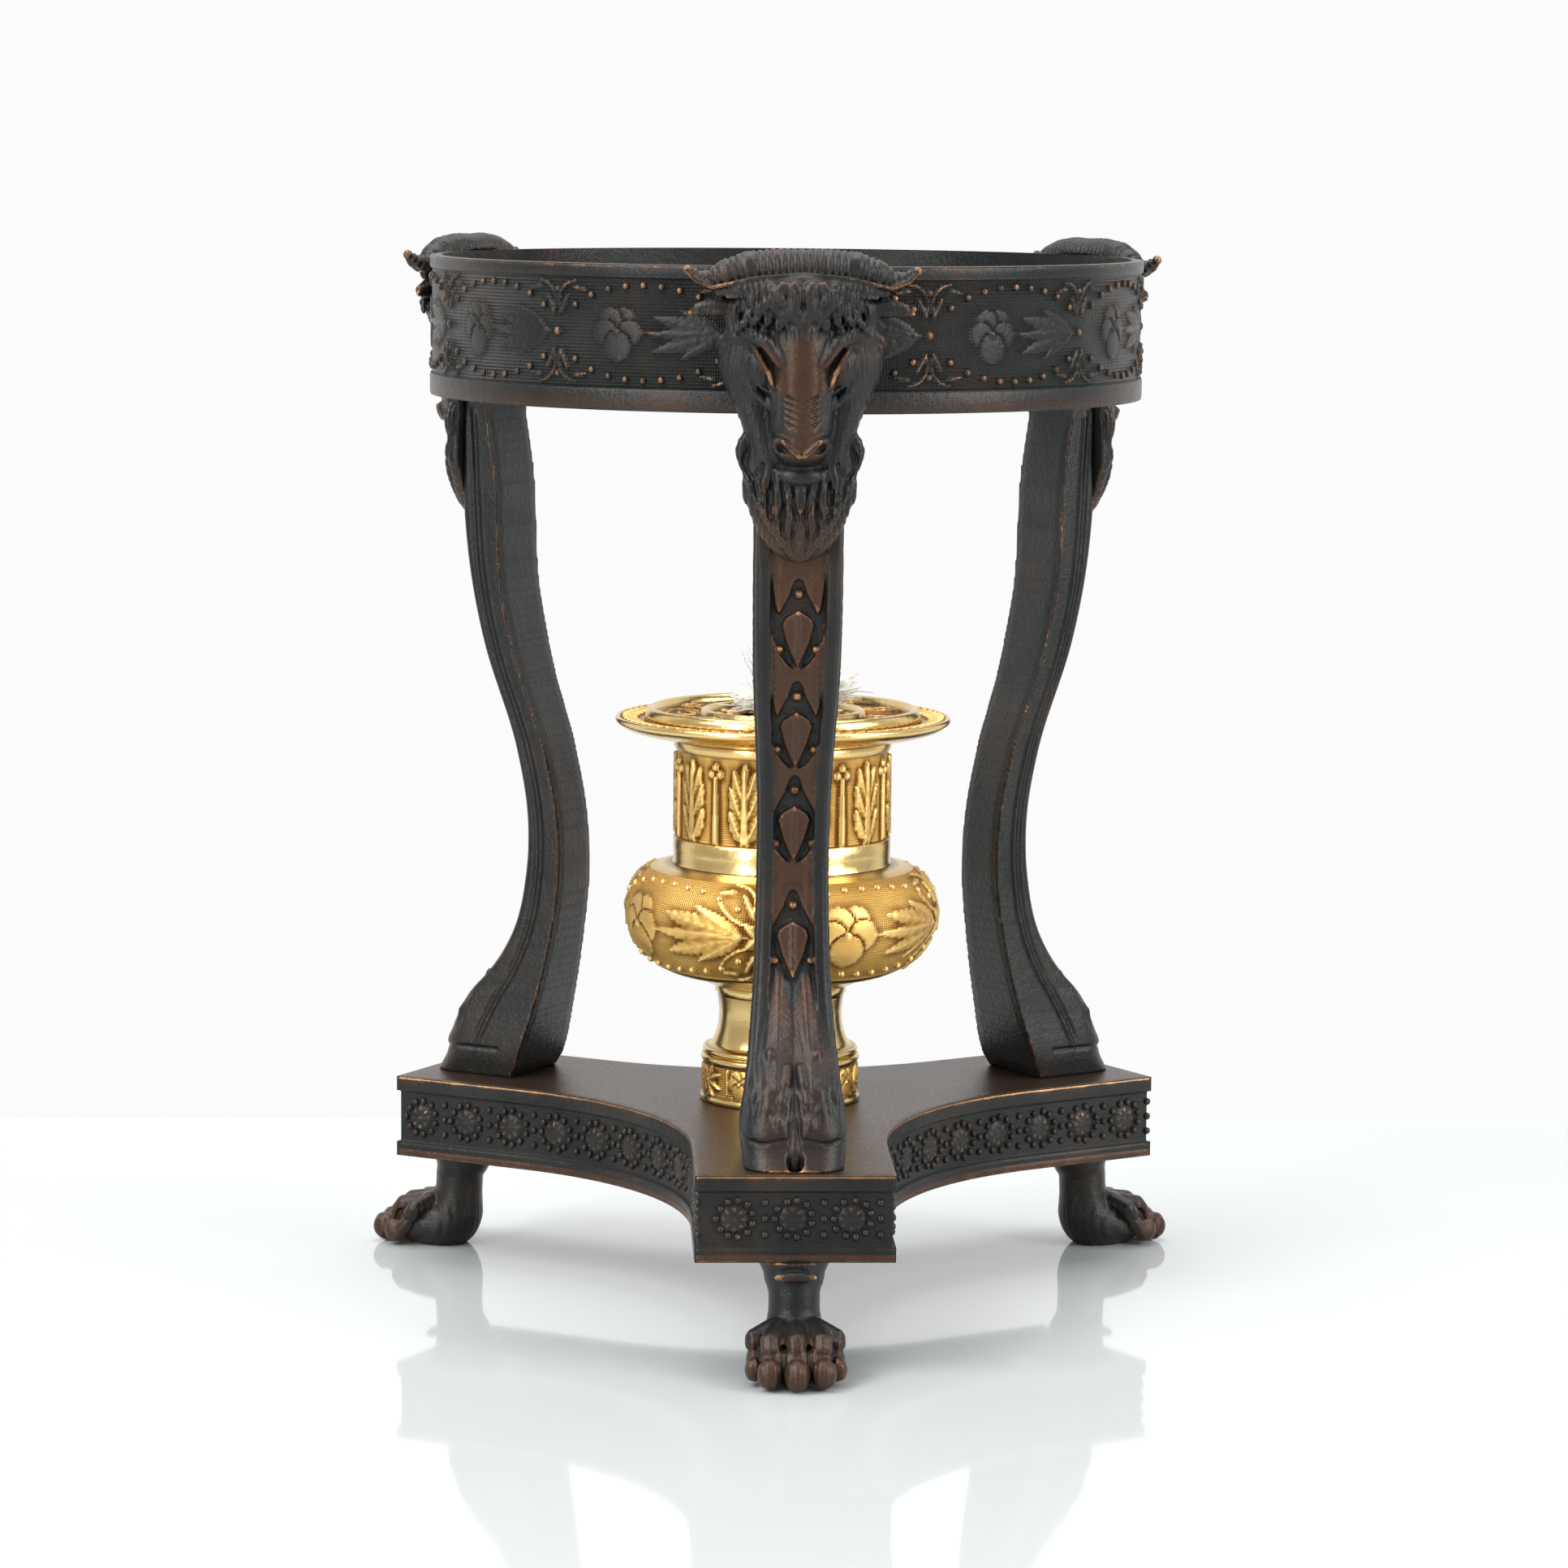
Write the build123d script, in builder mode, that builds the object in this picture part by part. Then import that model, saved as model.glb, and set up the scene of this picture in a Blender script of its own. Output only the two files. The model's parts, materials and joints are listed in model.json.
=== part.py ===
from build123d import *
from math import cos, radians, sin, sqrt
import os

os.makedirs("parts", exist_ok=True)

# Clearances
fit_gap = 0.05  # radial gap of a fixed round fit
slide_gap = 0.1  # radial gap of a fit that slides

# Plinth and its feet
foot_h = 17.0  # floor to the plinth's underside
plinth_h = 12.9
arm_reach = 61.8  # axis to the flat end of each arm
arm_width = 29.5
arm_hollow = 51.5  # radius of the concave sides
top_band = 2.3
bottom_band = 2.3
frieze_depth = 0.6
plinth_wall = 3.0
plinth_plate = 3.4
boss_r = 3.7
boss_h = 4.5

foot_out = 2.3  # foot axis, in from the arm's end
foot_neck_r = 3.2
foot_top_r = 4.7
paw_heel = 5.6  # heel, in from the arm's end
paw_toe = 11.9  # toe tip, out from the arm's end
paw_w = 15.1
foot_stud_r = 1.8
foot_stud_in = 4.3  # foot stud axis, in from the arm's end
foot_stud_up = 8.0
foot_stud_down = 7.0

# Legs
leg_h = 110.8  # plinth top to the ring's underside
leg_w = 12.4
hoof_w = 15.6
shin_w = 10.2
hoof_r = 49.0  # radius of the leg's line where it meets the plinth
hoof_cleft = 0.9
leg_screw_r = 2.0
leg_screw_head_r = 3.4
leg_screw_head_h = 2.4
leg_screw_grip = 9.0
washer_h = 0.8
washer_r = 3.9

# Frieze ring
ring_d = 110.0
ring_wall = 1.8
ring_h = 21.2
ring_top_band = 1.8
ring_bottom_band = 3.2
ring_ground = 0.35  # depth of the ground between the bands

# Goat masks
mask_top = 24.0  # crown above the ring's underside
mask_drop = 22.2  # beard tip below the ring's underside
mask_w = 32.4  # over the horn tips
face_w = 23.8
mask_depth = 7.2  # brow out from the ring's face
mask_back = 0.4  # back of the jaw, in from the ring's face
mask_screw_r = 1.1
mask_screw_head_r = 1.9
mask_screw_grip = 2.2
jaw_screw_drop = 11.5
jaw_screw_seat = 4.0

# Urn
socle_r = 12.4
socle_h = 7.4
stem_h = 11.2
stem_waist_r = 9.65
stem_collar_r = 10.3
bowl_h = 19.0
bowl_r = 24.4
bowl_lip_r = 17.1
bowl_wall = 1.7
bowl_floor = 3.2
neck_bore = 14.6
neck_wall = 2.3
neck_r = neck_bore + neck_wall
neck_h = 19.6
neck_spigot_h = 2.4
dish_r = 26.2
dish_h = 3.4
dish_ledge = 1.6  # dish in over the neck's bore
dish_bore = neck_bore - dish_ledge
lid_r = 21.5
lid_seat = 2.2  # lid seat above the dish's underside
lid_plate = 1.4
lid_bead = 2.7
inner_bead_r = 12.3
spigot_h = 1.8

# Inside the urn
rod_r = 2.0
nut_af = 7.0
nut_h = 2.6
rod_end = 0.8  # rod past each nut
liner_gap = 1.0  # rod end to the liner's floor
liner_slack = 1.0  # liner to the neck's bore
liner_r = neck_bore - liner_slack
liner_wall = 0.8
flange_ledge = 1.0  # flange out over the neck's bore
flange_r = neck_bore + flange_ledge
flange_h = 0.8
gasket_h = 0.5

# Burner
wick_r = 1.9
tube_wall = 0.6
tube_foot = 4.0  # liner's floor to the tube's lower end
tube_flange_r = 3.6
tube_flange_h = 0.8
tube_nut_af = 8.0
tube_nut_h = 2.0
tuft_r = 6.6
tuft_h = 13.5
tuft_side = 7.0  # how far the loose end leans from the axis
tuft_side_r = 4.2
wick_tail = 1.5

# Heights that follow from the sizes above
plinth_top = foot_h + plinth_h
ring_z = plinth_top + leg_h
ring_top = ring_z + ring_h
ring_r = ring_d / 2
jaw_r = ring_r - mask_back
stem_z = plinth_top + socle_h
bowl_z = stem_z + stem_h
neck_z = bowl_z + bowl_h
dish_z = neck_z + neck_h
lid_z = dish_z + lid_seat
tube_top = lid_z + lid_plate + tube_flange_h
rod_top = bowl_z + bowl_floor + nut_h + rod_end
liner_z = rod_top + liner_gap
tube_z = liner_z + liner_wall + tube_foot
foot_r = arm_reach - foot_out
foot_stud_u = arm_reach - foot_stud_in
pocket_z = plinth_top - plinth_plate
leg_screw_u = hoof_r + 0.5

front, right, left = -90, 30, 150


def arm_side(turn):
    """Plane through the axis and an arm: X runs outward and Y upward."""
    a = radians(turn)
    return Plane((0, 0, 0), x_dir=(cos(a), sin(a), 0), z_dir=(sin(a), -cos(a), 0))


def arm_front(turn, u):
    """Plane across an arm at radius u, facing outward: Y runs upward."""
    a = radians(turn)
    return Plane(
        (u * cos(a), u * sin(a), 0), x_dir=(-sin(a), cos(a), 0), z_dir=(cos(a), sin(a), 0)
    )


def three_arms(z, inset):
    """The plinth's outline at height z, drawn in by inset."""
    inner = arm_width / 2 / sin(radians(60)) + 1
    with BuildSketch(Plane.XY.offset(z)) as outline:
        with PolarLocations(0, 3, front):
            Rectangle(arm_reach - inset, arm_width - 2 * inset, align=(Align.MIN, Align.CENTER))
        near = outline.vertices().filter_by(lambda v: sqrt(v.X**2 + v.Y**2) < inner)
        fillet(near, arm_hollow)
    return outline.sketch


# Plinth
with BuildPart() as plinth:
    extrude(three_arms(foot_h, 0), amount=bottom_band)
    frieze_z = foot_h + bottom_band
    extrude(three_arms(frieze_z, frieze_depth), amount=plinth_h - bottom_band - top_band)
    extrude(three_arms(plinth_top - top_band, 0), amount=top_band)
    pocket = three_arms(foot_h, plinth_wall)
    extrude(pocket, amount=plinth_h - plinth_plate, mode=Mode.SUBTRACT)
    with BuildSketch(Plane.XY.offset(foot_h)):
        with PolarLocations(foot_stud_u, 3, front):
            Circle(boss_r)
    extrude(amount=plinth_h - plinth_plate)
    with BuildSketch(Plane.XY.offset(pocket_z - boss_h)):
        Circle(boss_r + 2)
        with PolarLocations(leg_screw_u, 3, front):
            Circle(boss_r)
    extrude(amount=boss_h)
    with BuildSketch(Plane.XY.offset(foot_h)):
        with PolarLocations(foot_stud_u, 3, front):
            Circle(foot_stud_r + fit_gap)
    extrude(amount=foot_stud_up + 0.4, mode=Mode.SUBTRACT)
    with BuildSketch(Plane.XY.offset(foot_h)):
        Circle(rod_r + slide_gap)
        with PolarLocations(leg_screw_u, 3, front):
            Circle(leg_screw_r + slide_gap)
    extrude(amount=plinth_h, mode=Mode.SUBTRACT)
plinth.part.label = "plinth"
export_step(plinth.part, "parts/plinth.step")


def paw(turn):
    """Lion's paw with a round neck, a wide base and two rows of toes."""
    with BuildPart() as foot:
        heel = arm_reach - paw_heel
        toe = arm_reach + paw_toe
        with BuildSketch(arm_side(turn)):
            with BuildLine():
                Line((heel + 0.6, 0), (toe - 1.6, 0))
                Spline(
                    (toe - 1.6, 0),
                    (toe - 0.1, foot_h * 0.17),
                    (toe - 1.6, foot_h * 0.32),
                    (toe - 5.2, foot_h * 0.45),
                    (foot_r + foot_neck_r + 0.6, foot_h * 0.56),
                    (foot_r + foot_neck_r, foot_h * 0.68),
                    (foot_r + foot_top_r - 1.0, foot_h),
                )
                Line((foot_r + foot_top_r - 1.0, foot_h), (foot_r - foot_top_r - 1.4, foot_h))
                Spline(
                    (foot_r - foot_top_r - 1.4, foot_h),
                    (foot_r - foot_neck_r - 0.5, foot_h * 0.78),
                    (foot_r - foot_neck_r, foot_h * 0.6),
                    (heel - 0.1, foot_h * 0.24),
                    (heel + 0.6, 0),
                )
            make_face()
        extrude(amount=paw_w / 2, both=True)
        with BuildSketch(arm_front(turn, heel - 4)):
            with BuildLine():
                Line((0, 0), (paw_w / 2 - 1.2, 0))
                Spline(
                    (paw_w / 2 - 1.2, 0),
                    (paw_w / 2, foot_h * 0.18),
                    (paw_w / 2 - 1.4, foot_h * 0.36),
                    (foot_neck_r + 0.7, foot_h * 0.52),
                    (foot_neck_r, foot_h * 0.68),
                    (foot_top_r, foot_h),
                )
                Line((foot_top_r, foot_h), (0, foot_h))
                Line((0, foot_h), (0, 0))
            make_face()
            mirror(about=Plane.YZ)
        extrude(amount=toe - heel + 8, mode=Mode.INTERSECT)
        with BuildSketch(Plane.XY.offset(foot_h - foot_stud_down)):
            with PolarLocations(foot_stud_u, 1, turn):
                Circle(foot_stud_r + fit_gap)
        extrude(amount=foot_stud_down, mode=Mode.SUBTRACT)
    return foot


paw_foot_front = paw(front)
paw_foot_front.part.label = "paw_foot_front"
export_step(paw_foot_front.part, "parts/paw_foot_front.step")

paw_foot_right = paw(right)
paw_foot_right.part.label = "paw_foot_right"
export_step(paw_foot_right.part, "parts/paw_foot_right.step")

paw_foot_left = paw(left)
paw_foot_left.part.label = "paw_foot_left"
export_step(paw_foot_left.part, "parts/paw_foot_left.step")

with BuildPart() as foot_studs:
    with BuildSketch(Plane.XY.offset(foot_h - foot_stud_down)):
        with PolarLocations(foot_stud_u, 3, front):
            Circle(foot_stud_r)
    extrude(amount=foot_stud_down + foot_stud_up)
foot_studs.part.label = "foot_studs"
export_step(foot_studs.part, "parts/foot_studs.step")


def leg_at(share, out):
    """Point on a leg's side view: share of the way up, and mm out from its straight line."""
    return (hoof_r + share * (ring_r - ring_wall - hoof_r) + out, plinth_top + share * leg_h)


def goat_leg(turn):
    """Cloven hoof, slim shin and a flat-fronted top that carries the ring."""
    with BuildPart() as leg:
        ledge = 1 - (mask_drop + 0.2) / leg_h
        ledge_z = ring_z - mask_drop - 0.2
        with BuildSketch(arm_side(turn)):
            with BuildLine():
                toe = leg_at(0, 9.8)
                inner_top = leg_at(1, -2.8)
                heel = leg_at(0, -4.4)
                Spline(
                    inner_top,
                    leg_at(0.89, -3.8),
                    leg_at(0.777, -4.2),
                    leg_at(0.656, -5.4),
                    leg_at(0.538, -9.0),
                    leg_at(0.42, -12.4),
                    leg_at(0.33, -13.1),
                    leg_at(0.21, -11.4),
                    leg_at(0.091, -7.9),
                    heel,
                )
                Line(heel, toe)
                Spline(
                    toe,
                    leg_at(0.015, 10.6),
                    leg_at(0.06, 8.5),
                    leg_at(0.091, 6.5),
                    leg_at(0.121, 4.0),
                    leg_at(0.16, 0.0),
                    leg_at(0.21, -3.7),
                    leg_at(0.30, -6.5),
                    leg_at(0.362, -6.9),
                    leg_at(0.42, -6.7),
                    leg_at(0.538, -3.6),
                    leg_at(0.656, 0.2),
                    leg_at(0.75, 1.9),
                    (jaw_r + 0.6, ledge_z),
                )
                Line((jaw_r + 0.6, ledge_z), (jaw_r, ledge_z))
                Line((jaw_r, ledge_z), (jaw_r, ring_z))
                Line((jaw_r, ring_z), inner_top)
            make_face()
        extrude(amount=hoof_w / 2, both=True)
        with BuildSketch(arm_front(turn, hoof_r - 20)):
            with BuildLine():
                Line((0, plinth_top), (hoof_w / 2 - 0.5, plinth_top))
                Spline(
                    (hoof_w / 2 - 0.5, plinth_top),
                    (hoof_w / 2, plinth_top + leg_h * 0.04),
                    (hoof_w / 2 - 1.0, plinth_top + leg_h * 0.1),
                    (shin_w / 2 + 0.9, plinth_top + leg_h * 0.17),
                    (shin_w / 2, plinth_top + leg_h * 0.35),
                    (shin_w / 2, plinth_top + leg_h * 0.46),
                    (leg_w / 2, plinth_top + leg_h * 0.72),
                    (leg_w / 2, ring_z),
                )
                Line((leg_w / 2, ring_z), (0, ring_z))
                Line((0, ring_z), (0, plinth_top))
            make_face()
            mirror(about=Plane.YZ)
        extrude(amount=45, mode=Mode.INTERSECT)
        with BuildSketch(arm_front(turn, hoof_r + 5)):
            with Locations((0, plinth_top)):
                Rectangle(hoof_cleft, leg_h * 0.09, align=(Align.CENTER, Align.MIN))
        extrude(amount=20, mode=Mode.SUBTRACT)
        with BuildSketch(Plane.XY.offset(plinth_top)):
            with PolarLocations(leg_screw_u, 1, turn):
                Circle(leg_screw_r + fit_gap)
        extrude(amount=leg_screw_grip + 0.8, mode=Mode.SUBTRACT)
        with BuildSketch(arm_front(turn, jaw_r - 12)):
            with Locations((0, ring_z - jaw_screw_drop)):
                Circle(mask_screw_r + slide_gap)
        extrude(amount=20, mode=Mode.SUBTRACT)
        with BuildSketch(arm_front(turn, jaw_r - jaw_screw_seat)):
            with Locations((0, ring_z - jaw_screw_drop)):
                Circle(mask_screw_head_r + 0.3)
        extrude(amount=-8, mode=Mode.SUBTRACT)
    return leg


leg_front = goat_leg(front)
leg_front.part.label = "leg_front"
export_step(leg_front.part, "parts/leg_front.step")

leg_right = goat_leg(right)
leg_right.part.label = "leg_right"
export_step(leg_right.part, "parts/leg_right.step")

leg_left = goat_leg(left)
leg_left.part.label = "leg_left"
export_step(leg_left.part, "parts/leg_left.step")

washer_z = pocket_z - boss_h - washer_h
with BuildPart() as leg_washers:
    with BuildSketch(Plane.XY.offset(washer_z)):
        with PolarLocations(leg_screw_u, 3, front):
            Circle(washer_r)
            Circle(leg_screw_r + slide_gap, mode=Mode.SUBTRACT)
    extrude(amount=washer_h)
leg_washers.part.label = "leg_washers"
export_step(leg_washers.part, "parts/leg_washers.step")

with BuildPart() as leg_screws:
    with BuildSketch(Plane.XY.offset(washer_z - leg_screw_head_h)):
        with PolarLocations(leg_screw_u, 3, front):
            Circle(leg_screw_head_r)
    extrude(amount=leg_screw_head_h)
    with BuildSketch(Plane.XY.offset(washer_z)):
        with PolarLocations(leg_screw_u, 3, front):
            Circle(leg_screw_r)
    extrude(amount=plinth_top + leg_screw_grip - washer_z)
    with BuildSketch(Plane.XY.offset(washer_z - leg_screw_head_h)):
        with PolarLocations(leg_screw_u, 3, front):
            Rectangle(2 * leg_screw_head_r + 1, 0.8)
    extrude(amount=0.9, mode=Mode.SUBTRACT)
leg_screws.part.label = "leg_screws"
export_step(leg_screws.part, "parts/leg_screws.step")

# Frieze ring, a thin band with plain fillets above and below a sunk ground
mask_screw_z = ring_z + ring_h * 0.38
with BuildPart() as frieze_ring:
    with BuildSketch(Plane.XZ):
        with BuildLine():
            Polyline(
                (ring_r - ring_wall, ring_z),
                (ring_r, ring_z),
                (ring_r, ring_z + ring_bottom_band),
                (ring_r - ring_ground, ring_z + ring_bottom_band),
                (ring_r - ring_ground, ring_top - ring_top_band),
                (ring_r, ring_top - ring_top_band),
                (ring_r, ring_top),
                (ring_r - ring_wall, ring_top),
                close=True,
            )
        make_face()
    revolve(axis=Axis.Z)
    for turn in (front, right, left):
        with BuildSketch(arm_front(turn, ring_r - ring_wall - 3)):
            with Locations((0, mask_screw_z)):
                Circle(mask_screw_r + slide_gap)
        extrude(amount=8, mode=Mode.SUBTRACT)
        with BuildSketch(arm_front(turn, ring_r - ring_wall - 3)):
            with Locations((0, mask_screw_z)):
                Circle(mask_screw_head_r + slide_gap)
        extrude(amount=3 + 0.8, mode=Mode.SUBTRACT)
frieze_ring.part.label = "frieze_ring"
export_step(frieze_ring.part, "parts/frieze_ring.step")


def goat_mask(turn):
    """Horned and bearded mask, hooked over the ring and backed by the leg."""
    brow = ring_r + mask_depth
    with BuildPart() as mask:
        with BuildSketch(arm_front(turn, ring_r - 1.4)):
            with BuildLine():
                Spline(
                    (0, ring_z + mask_top),
                    (mask_w * 0.2, ring_z + mask_top),
                    (mask_w * 0.37, ring_z + mask_top - 1.6),
                    (mask_w / 2, ring_top - 1.0),
                )
                Polyline(
                    (mask_w / 2, ring_top - 1.0),
                    (mask_w * 0.44, ring_top - 3.0),
                    (mask_w * 0.46, ring_top - 5.5),
                    (face_w / 2, ring_top - 8.5),
                    (face_w / 2, ring_z + 7.5),
                    (face_w * 0.4, ring_z + 2.0),
                    (face_w * 0.27, ring_z - 4.0),
                    (face_w * 0.32, ring_z - mask_drop * 0.5),
                    (face_w * 0.24, ring_z - mask_drop * 0.8),
                    (face_w * 0.06, ring_z - mask_drop),
                    (0, ring_z - mask_drop),
                )
                Line((0, ring_z - mask_drop), (0, ring_z + mask_top))
            make_face()
            mirror(about=Plane.YZ)
        extrude(amount=mask_depth + 2)
        with BuildSketch(arm_side(turn)):
            with BuildLine():
                Polyline(
                    (brow - 3.0, ring_z + mask_top + 0.2),
                    (ring_r - 0.8, ring_top + 1.6),
                    (ring_r - 1.2, ring_top),
                    (jaw_r, ring_top),
                    (jaw_r, ring_z - mask_drop),
                    (ring_r + 0.4, ring_z - mask_drop),
                    (ring_r + 2.4, ring_z - mask_drop * 0.8),
                    (ring_r + 2.9, ring_z - mask_drop * 0.5),
                    (ring_r + 3.6, ring_z - mask_drop * 0.38),
                    (brow - 2.0, ring_z - 5.5),
                    (brow - 1.4, ring_z - 1.0),
                    (brow - 1.2, ring_z + 6.0),
                    (brow, ring_z + 12.0),
                    (brow - 0.2, ring_top - 1.0),
                    (brow - 0.8, ring_z + mask_top - 1.0),
                    close=True,
                )
            make_face()
        extrude(amount=mask_w / 2 + 1, both=True, mode=Mode.INTERSECT)
        with BuildSketch(Plane.XY.offset(ring_z)):
            Circle(ring_r + fit_gap)
        extrude(amount=ring_h, mode=Mode.SUBTRACT)
        with BuildSketch(arm_front(turn, jaw_r - 2)):
            with Locations((0, ring_z - jaw_screw_drop), (0, mask_screw_z)):
                Circle(mask_screw_r + fit_gap)
        extrude(amount=2 + mask_screw_grip + mask_back + 0.3, mode=Mode.SUBTRACT)
    return mask


goat_mask_front = goat_mask(front)
goat_mask_front.part.label = "goat_mask_front"
export_step(goat_mask_front.part, "parts/goat_mask_front.step")

goat_mask_right = goat_mask(right)
goat_mask_right.part.label = "goat_mask_right"
export_step(goat_mask_right.part, "parts/goat_mask_right.step")

goat_mask_left = goat_mask(left)
goat_mask_left.part.label = "goat_mask_left"
export_step(goat_mask_left.part, "parts/goat_mask_left.step")

# Screws through the ring's wall, flush inside it, into each mask's forehead
head_face = sqrt((ring_r - ring_wall) ** 2 - mask_screw_head_r**2) + 0.08
ring_seat = ring_r - ring_wall + 0.8
with BuildPart() as ring_screws:
    for turn in (front, right, left):
        with BuildSketch(arm_front(turn, head_face)):
            with Locations((0, mask_screw_z)):
                Circle(mask_screw_head_r)
        extrude(amount=ring_seat - head_face)
        with BuildSketch(arm_front(turn, ring_seat)):
            with Locations((0, mask_screw_z)):
                Circle(mask_screw_r)
        extrude(amount=ring_r + mask_screw_grip - ring_seat)
ring_screws.part.label = "ring_screws"
export_step(ring_screws.part, "parts/ring_screws.step")

# Screws from the back of each leg into its mask's jaw
with BuildPart() as jaw_screws:
    for turn in (front, right, left):
        with BuildSketch(arm_front(turn, jaw_r - jaw_screw_seat - 1.3)):
            with Locations((0, ring_z - jaw_screw_drop)):
                Circle(mask_screw_head_r)
        extrude(amount=1.3)
        with BuildSketch(arm_front(turn, jaw_r - jaw_screw_seat)):
            with Locations((0, ring_z - jaw_screw_drop)):
                Circle(mask_screw_r)
        extrude(amount=jaw_screw_seat + mask_screw_grip)
jaw_screws.part.label = "jaw_screws"
export_step(jaw_screws.part, "parts/jaw_screws.step")

# Urn, turned pieces stacked on one rod
with BuildPart() as urn_socle:
    with BuildSketch(Plane.XZ):
        with BuildLine():
            Polyline(
                (rod_r + slide_gap, plinth_top),
                (socle_r + 0.2, plinth_top),
                (socle_r + 0.2, plinth_top + 0.9),
                (socle_r - 0.3, plinth_top + 1.2),
                (socle_r - 0.3, stem_z - 1.3),
                (socle_r + 0.1, stem_z - 1.0),
                (socle_r + 0.1, stem_z),
                (rod_r + slide_gap, stem_z),
                close=True,
            )
        make_face()
    revolve(axis=Axis.Z)
urn_socle.part.label = "urn_socle"
export_step(urn_socle.part, "parts/urn_socle.step")

with BuildPart() as urn_stem:
    with BuildSketch(Plane.XZ):
        with BuildLine():
            Line((rod_r + slide_gap, stem_z), (socle_r - 0.5, stem_z))
            Spline(
                (socle_r - 0.5, stem_z),
                (socle_r - 1.5, stem_z + stem_h * 0.1),
                (stem_waist_r + 0.4, stem_z + stem_h * 0.32),
                (stem_waist_r, stem_z + stem_h * 0.58),
                (stem_collar_r, stem_z + stem_h * 0.84),
            )
            Line((stem_collar_r, stem_z + stem_h * 0.84), (stem_collar_r, bowl_z))
            Line((stem_collar_r, bowl_z), (rod_r + slide_gap, bowl_z))
            Line((rod_r + slide_gap, bowl_z), (rod_r + slide_gap, stem_z))
        make_face()
    revolve(axis=Axis.Z)
urn_stem.part.label = "urn_stem"
export_step(urn_stem.part, "parts/urn_stem.step")

spigot_r = neck_bore + 1.2
with BuildPart() as urn_bowl:
    with BuildSketch(Plane.XZ):
        with BuildLine():
            Line((rod_r + slide_gap, bowl_z), (stem_collar_r + 0.6, bowl_z))
            Spline(
                (stem_collar_r + 0.6, bowl_z),
                (bowl_lip_r, bowl_z + bowl_h * 0.09),
                (bowl_r - 2.6, bowl_z + bowl_h * 0.27),
                (bowl_r, bowl_z + bowl_h * 0.61),
                (bowl_r - 2.6, bowl_z + bowl_h * 0.93),
                (neck_r + 0.4, neck_z),
            )
            Line((neck_r + 0.4, neck_z), (spigot_r + fit_gap, neck_z))
            Line((spigot_r + fit_gap, neck_z), (spigot_r + fit_gap, neck_z - neck_spigot_h - 0.4))
            Spline(
                (spigot_r + fit_gap, neck_z - neck_spigot_h - 0.4),
                (bowl_r - bowl_wall - 1.6, bowl_z + bowl_h * 0.72),
                (bowl_r - bowl_wall - 0.6, bowl_z + bowl_h * 0.55),
                (bowl_r - bowl_wall - 4.2, bowl_z + bowl_h * 0.3),
                (stem_collar_r, bowl_z + bowl_floor),
            )
            Line((stem_collar_r, bowl_z + bowl_floor), (rod_r + slide_gap, bowl_z + bowl_floor))
            Line((rod_r + slide_gap, bowl_z + bowl_floor), (rod_r + slide_gap, bowl_z))
        make_face()
    revolve(axis=Axis.Z)
urn_bowl.part.label = "urn_bowl"
export_step(urn_bowl.part, "parts/urn_bowl.step")

with BuildPart() as urn_neck:
    with BuildSketch(Plane.XZ):
        with BuildLine():
            Polyline(
                (neck_bore, neck_z - neck_spigot_h),
                (spigot_r, neck_z - neck_spigot_h),
                (spigot_r, neck_z),
                (neck_r, neck_z),
                (neck_r + 0.1, neck_z + neck_h * 0.2),
                (neck_r - 0.4, neck_z + neck_h * 0.22),
                (neck_r - 0.5, neck_z + neck_h * 0.9),
                (neck_r, neck_z + neck_h * 0.96),
                (neck_r + 0.2, dish_z),
                (flange_r + fit_gap, dish_z),
                (flange_r + fit_gap, dish_z - flange_h - gasket_h),
                (neck_bore, dish_z - flange_h - gasket_h),
                close=True,
            )
        make_face()
    revolve(axis=Axis.Z)
urn_neck.part.label = "urn_neck"
export_step(urn_neck.part, "parts/urn_neck.step")

with BuildPart() as rim_dish:
    with BuildSketch(Plane.XZ):
        with BuildLine():
            Line((dish_bore, dish_z), (neck_r + 0.5, dish_z))
            Spline(
                (neck_r + 0.5, dish_z),
                (neck_r + 2.2, dish_z + dish_h * 0.1),
                (dish_r - 1.6, dish_z + dish_h * 0.5),
                (dish_r, dish_z + dish_h * 0.84),
            )
            Polyline(
                (dish_r, dish_z + dish_h * 0.84),
                (dish_r - 0.1, dish_z + dish_h),
                (dish_r - 0.7, dish_z + dish_h),
                (lid_r + slide_gap + 0.6, lid_z + 0.5),
                (lid_r + slide_gap, lid_z + 0.5),
                (lid_r + slide_gap, lid_z),
                (dish_bore, lid_z),
                (dish_bore, dish_z),
            )
        make_face()
    revolve(axis=Axis.Z)
rim_dish.part.label = "rim_dish"
export_step(rim_dish.part, "parts/rim_dish.step")

# Rod that draws the urn down on the plinth, with its nuts and washer
rod_z = washer_z - nut_h - rod_end
with BuildPart() as tie_rod:
    with BuildSketch(Plane.XY.offset(rod_z)):
        Circle(rod_r)
    extrude(amount=rod_top - rod_z)
tie_rod.part.label = "tie_rod"
export_step(tie_rod.part, "parts/tie_rod.step")

with BuildPart() as tie_washer:
    with BuildSketch(Plane.XY.offset(washer_z)):
        Circle(boss_r + 1.2)
        Circle(rod_r + slide_gap, mode=Mode.SUBTRACT)
    extrude(amount=washer_h)
tie_washer.part.label = "tie_washer"
export_step(tie_washer.part, "parts/tie_washer.step")

with BuildPart() as tie_nuts:
    with BuildSketch(Plane.XY.offset(washer_z - nut_h)):
        RegularPolygon(nut_af / 2, 6, major_radius=False)
        Circle(rod_r + fit_gap, mode=Mode.SUBTRACT)
    extrude(amount=nut_h)
    with BuildSketch(Plane.XY.offset(bowl_z + bowl_floor)):
        RegularPolygon(nut_af / 2, 6, major_radius=False)
        Circle(rod_r + fit_gap, mode=Mode.SUBTRACT)
    extrude(amount=nut_h)
tie_nuts.part.label = "tie_nuts"
export_step(tie_nuts.part, "parts/tie_nuts.step")

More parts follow.
